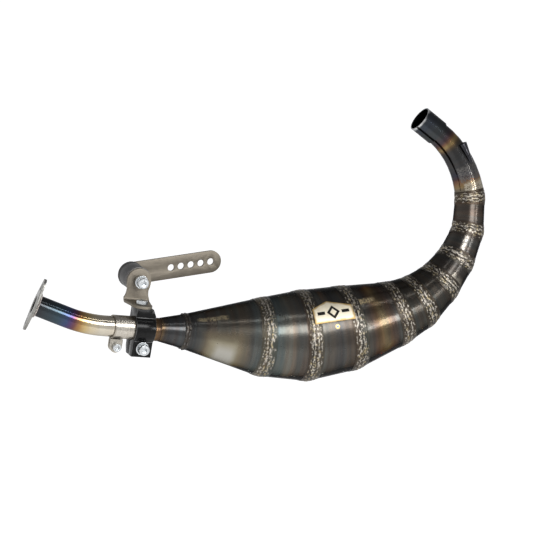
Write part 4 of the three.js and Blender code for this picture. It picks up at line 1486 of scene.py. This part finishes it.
def buildArm():
    low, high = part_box("hole_strip_arm")
    rubberLow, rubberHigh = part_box("rubber_mount")
    middle = [(a + b) / 2 for a, b in zip(rubberLow, rubberHigh)]
    pivot = Vector((middle[0], high[1], middle[2]))
    unit = 1 / 1000
    last = armLook["firstHole"] + armLook["pitch"] * (armLook["holes"] - 1)
    mesh = grown(holeStripTree(), bpy.data.meshes.new("blank"), {
        "Width": armLook["width"] * unit,
        "Length": last * unit,
        "Thickness": high[1] - low[1],
        "First Hole": armLook["firstHole"] * unit,
        "Pitch": armLook["pitch"] * unit,
        "Holes": armLook["holes"],
        "Hole": armLook["hole"] * unit,
        "Pivot Hole": armLook["pivotHole"] * unit,
        "Material": finishes["bracket"],
    })
    tilt = Matrix.Rotation(-math.radians(armLook["angle"]), 4, "Y")
    mesh.transform(Matrix.Translation(pivot) @ tilt @ Matrix.Rotation(math.pi / 2, 4, "X"))
    piece = addPiece("hole_strip_arm_plate", mesh, "arm", "hole_strip_arm")
    bevel = piece.modifiers.new("edge", "BEVEL")
    bevel.width = armLook["edge"] * unit
    bevel.segments = 2
    bevel.limit_method = "ANGLE"
    settle(piece, 35)


buildArm()
print("rubber mount and arm built")


# Blank badge plate with a tinted rim and a plain generic mark

badgeLook = {  # millimetres and degrees
    "width": 55,
    "sideHeight": 19,
    "peakHeight": 28,
    "peakShift": -5,
    "thickness": 0.8,
    "clock": -44,
    "share": 0.47,  # along the front belly
    "lift": 0.9,
    "columns": 60,
    "rows": 24,
    "rim": 3.4,
    "markHeight": 12.0,
    "lozenge": (4.5, 8.9),
    "barHalfHeight": 1.9,
    "bar": (11.5, 22.0),
    "markSoft": 0.3,
}


# Gilt towards the rim, with two bars and a lozenge in black; badgePlace is in millimetres
def badgeFinish():
    material, wires, shader = newFinish("giltBadge")
    node = wires.add("ShaderNodeAttribute", attribute_name="badgePlace")
    across, up, inset = wires.split(node.outputs["Vector"])
    place = wires.add("ShaderNodeTexCoord").outputs["Object"]
    cloud = wires.noise(place, 160.0, 3.0)
    waver = wires.math("MULTIPLY", wires.math("SUBTRACT", cloud, 0.5), 3.0)
    rim = wires.step(wires.math("ADD", inset, waver), badgeLook["rim"], 0.2)
    cream = wires.blend(cloud, (0.58, 0.52, 0.39, 1), (0.74, 0.69, 0.56, 1))
    colour = wires.blend(rim, cream, (0.34, 0.23, 0.08, 1))
    side = wires.math("ABSOLUTE", across)
    rise = wires.math("ABSOLUTE", wires.math("SUBTRACT", up, badgeLook["markHeight"]))
    lozenge = wires.math("ADD", side, rise)
    soft = badgeLook["markSoft"]

    def below(value, edge):
        return wires.step(value, edge + soft, edge)

    inner, outer = badgeLook["lozenge"]
    ring = wires.math("SUBTRACT", below(lozenge, outer), below(lozenge, inner))
    near, far = badgeLook["bar"]
    bar = wires.math(
        "MULTIPLY", below(rise, badgeLook["barHalfHeight"]), wires.step(side, near, near + soft),
    )
    bar = wires.math("MULTIPLY", bar, below(side, far))
    mark = wires.math("ADD", ring, bar, clamp=True)
    wires.feed(shader.inputs["Base Color"], wires.blend(mark, colour, (0.012, 0.011, 0.010, 1)))
    rough = wires.math("ADD", 0.32, wires.math("MULTIPLY", cloud, 0.2))
    wires.feed(shader.inputs["Roughness"], rough)
    setConstants(shader, {"Metallic": 0.85})
    return material


def buildBadge():
    look = badgeLook
    half = look["width"] / 2
    belly, beyond = chamberRun[3], chamberRun[4]
    middle = mix(belly["at"], beyond["at"], look["share"])
    radius = stationAt(chamberRun, middle)["radius"]
    mesh = bpy.data.meshes.new("badge")
    corners, marks, faces = [], [], []
    for i in range(look["columns"] + 1):
        x = -half + look["width"] * i / look["columns"]
        peak = look["peakShift"]
        run = (x + half) / (peak + half) if x < peak else (half - x) / (half - peak)
        top = mix(look["sideHeight"], look["peakHeight"], run)
        for k in range(look["rows"] + 1):
            y = top * k / look["rows"]
            clock = math.radians(look["clock"]) - (y - look["peakHeight"] / 2) / 1000 / radius
            corners.append(pointOff(chamberRun, middle + x / 1000, clock, look["lift"] / 1000))
            marks.append((x, y, min(half - abs(x), y, top - y)))
    step = look["rows"] + 1
    for i in range(look["columns"]):
        for k in range(look["rows"]):
            low = i * step + k
            faces.append((low, low + 1, low + step + 1, low + step))
    mesh.from_pydata(corners, [], faces)
    layer = mesh.attributes.new("badgePlace", "FLOAT_VECTOR", "POINT")
    for item, value in zip(layer.data, marks):
        item.vector = value
    mesh.materials.append(badgeFinish())
    piece = addPiece("badge_plate_gilt", mesh, "chamber", "badge_plate")
    rim = pointOff(chamberRun, middle, math.radians(look["clock"]), 1)
    outward = rim - stationAt(chamberRun, middle)["centre"]
    if mesh.polygons[len(mesh.polygons) // 2].normal.dot(outward) < 0:
        mesh.flip_normals()
    solid = piece.modifiers.new("thickness", "SOLIDIFY")
    solid.thickness = look["thickness"] / 1000
    solid.offset = 1
    settle(piece, 40)


buildBadge()
print("badge fixed")
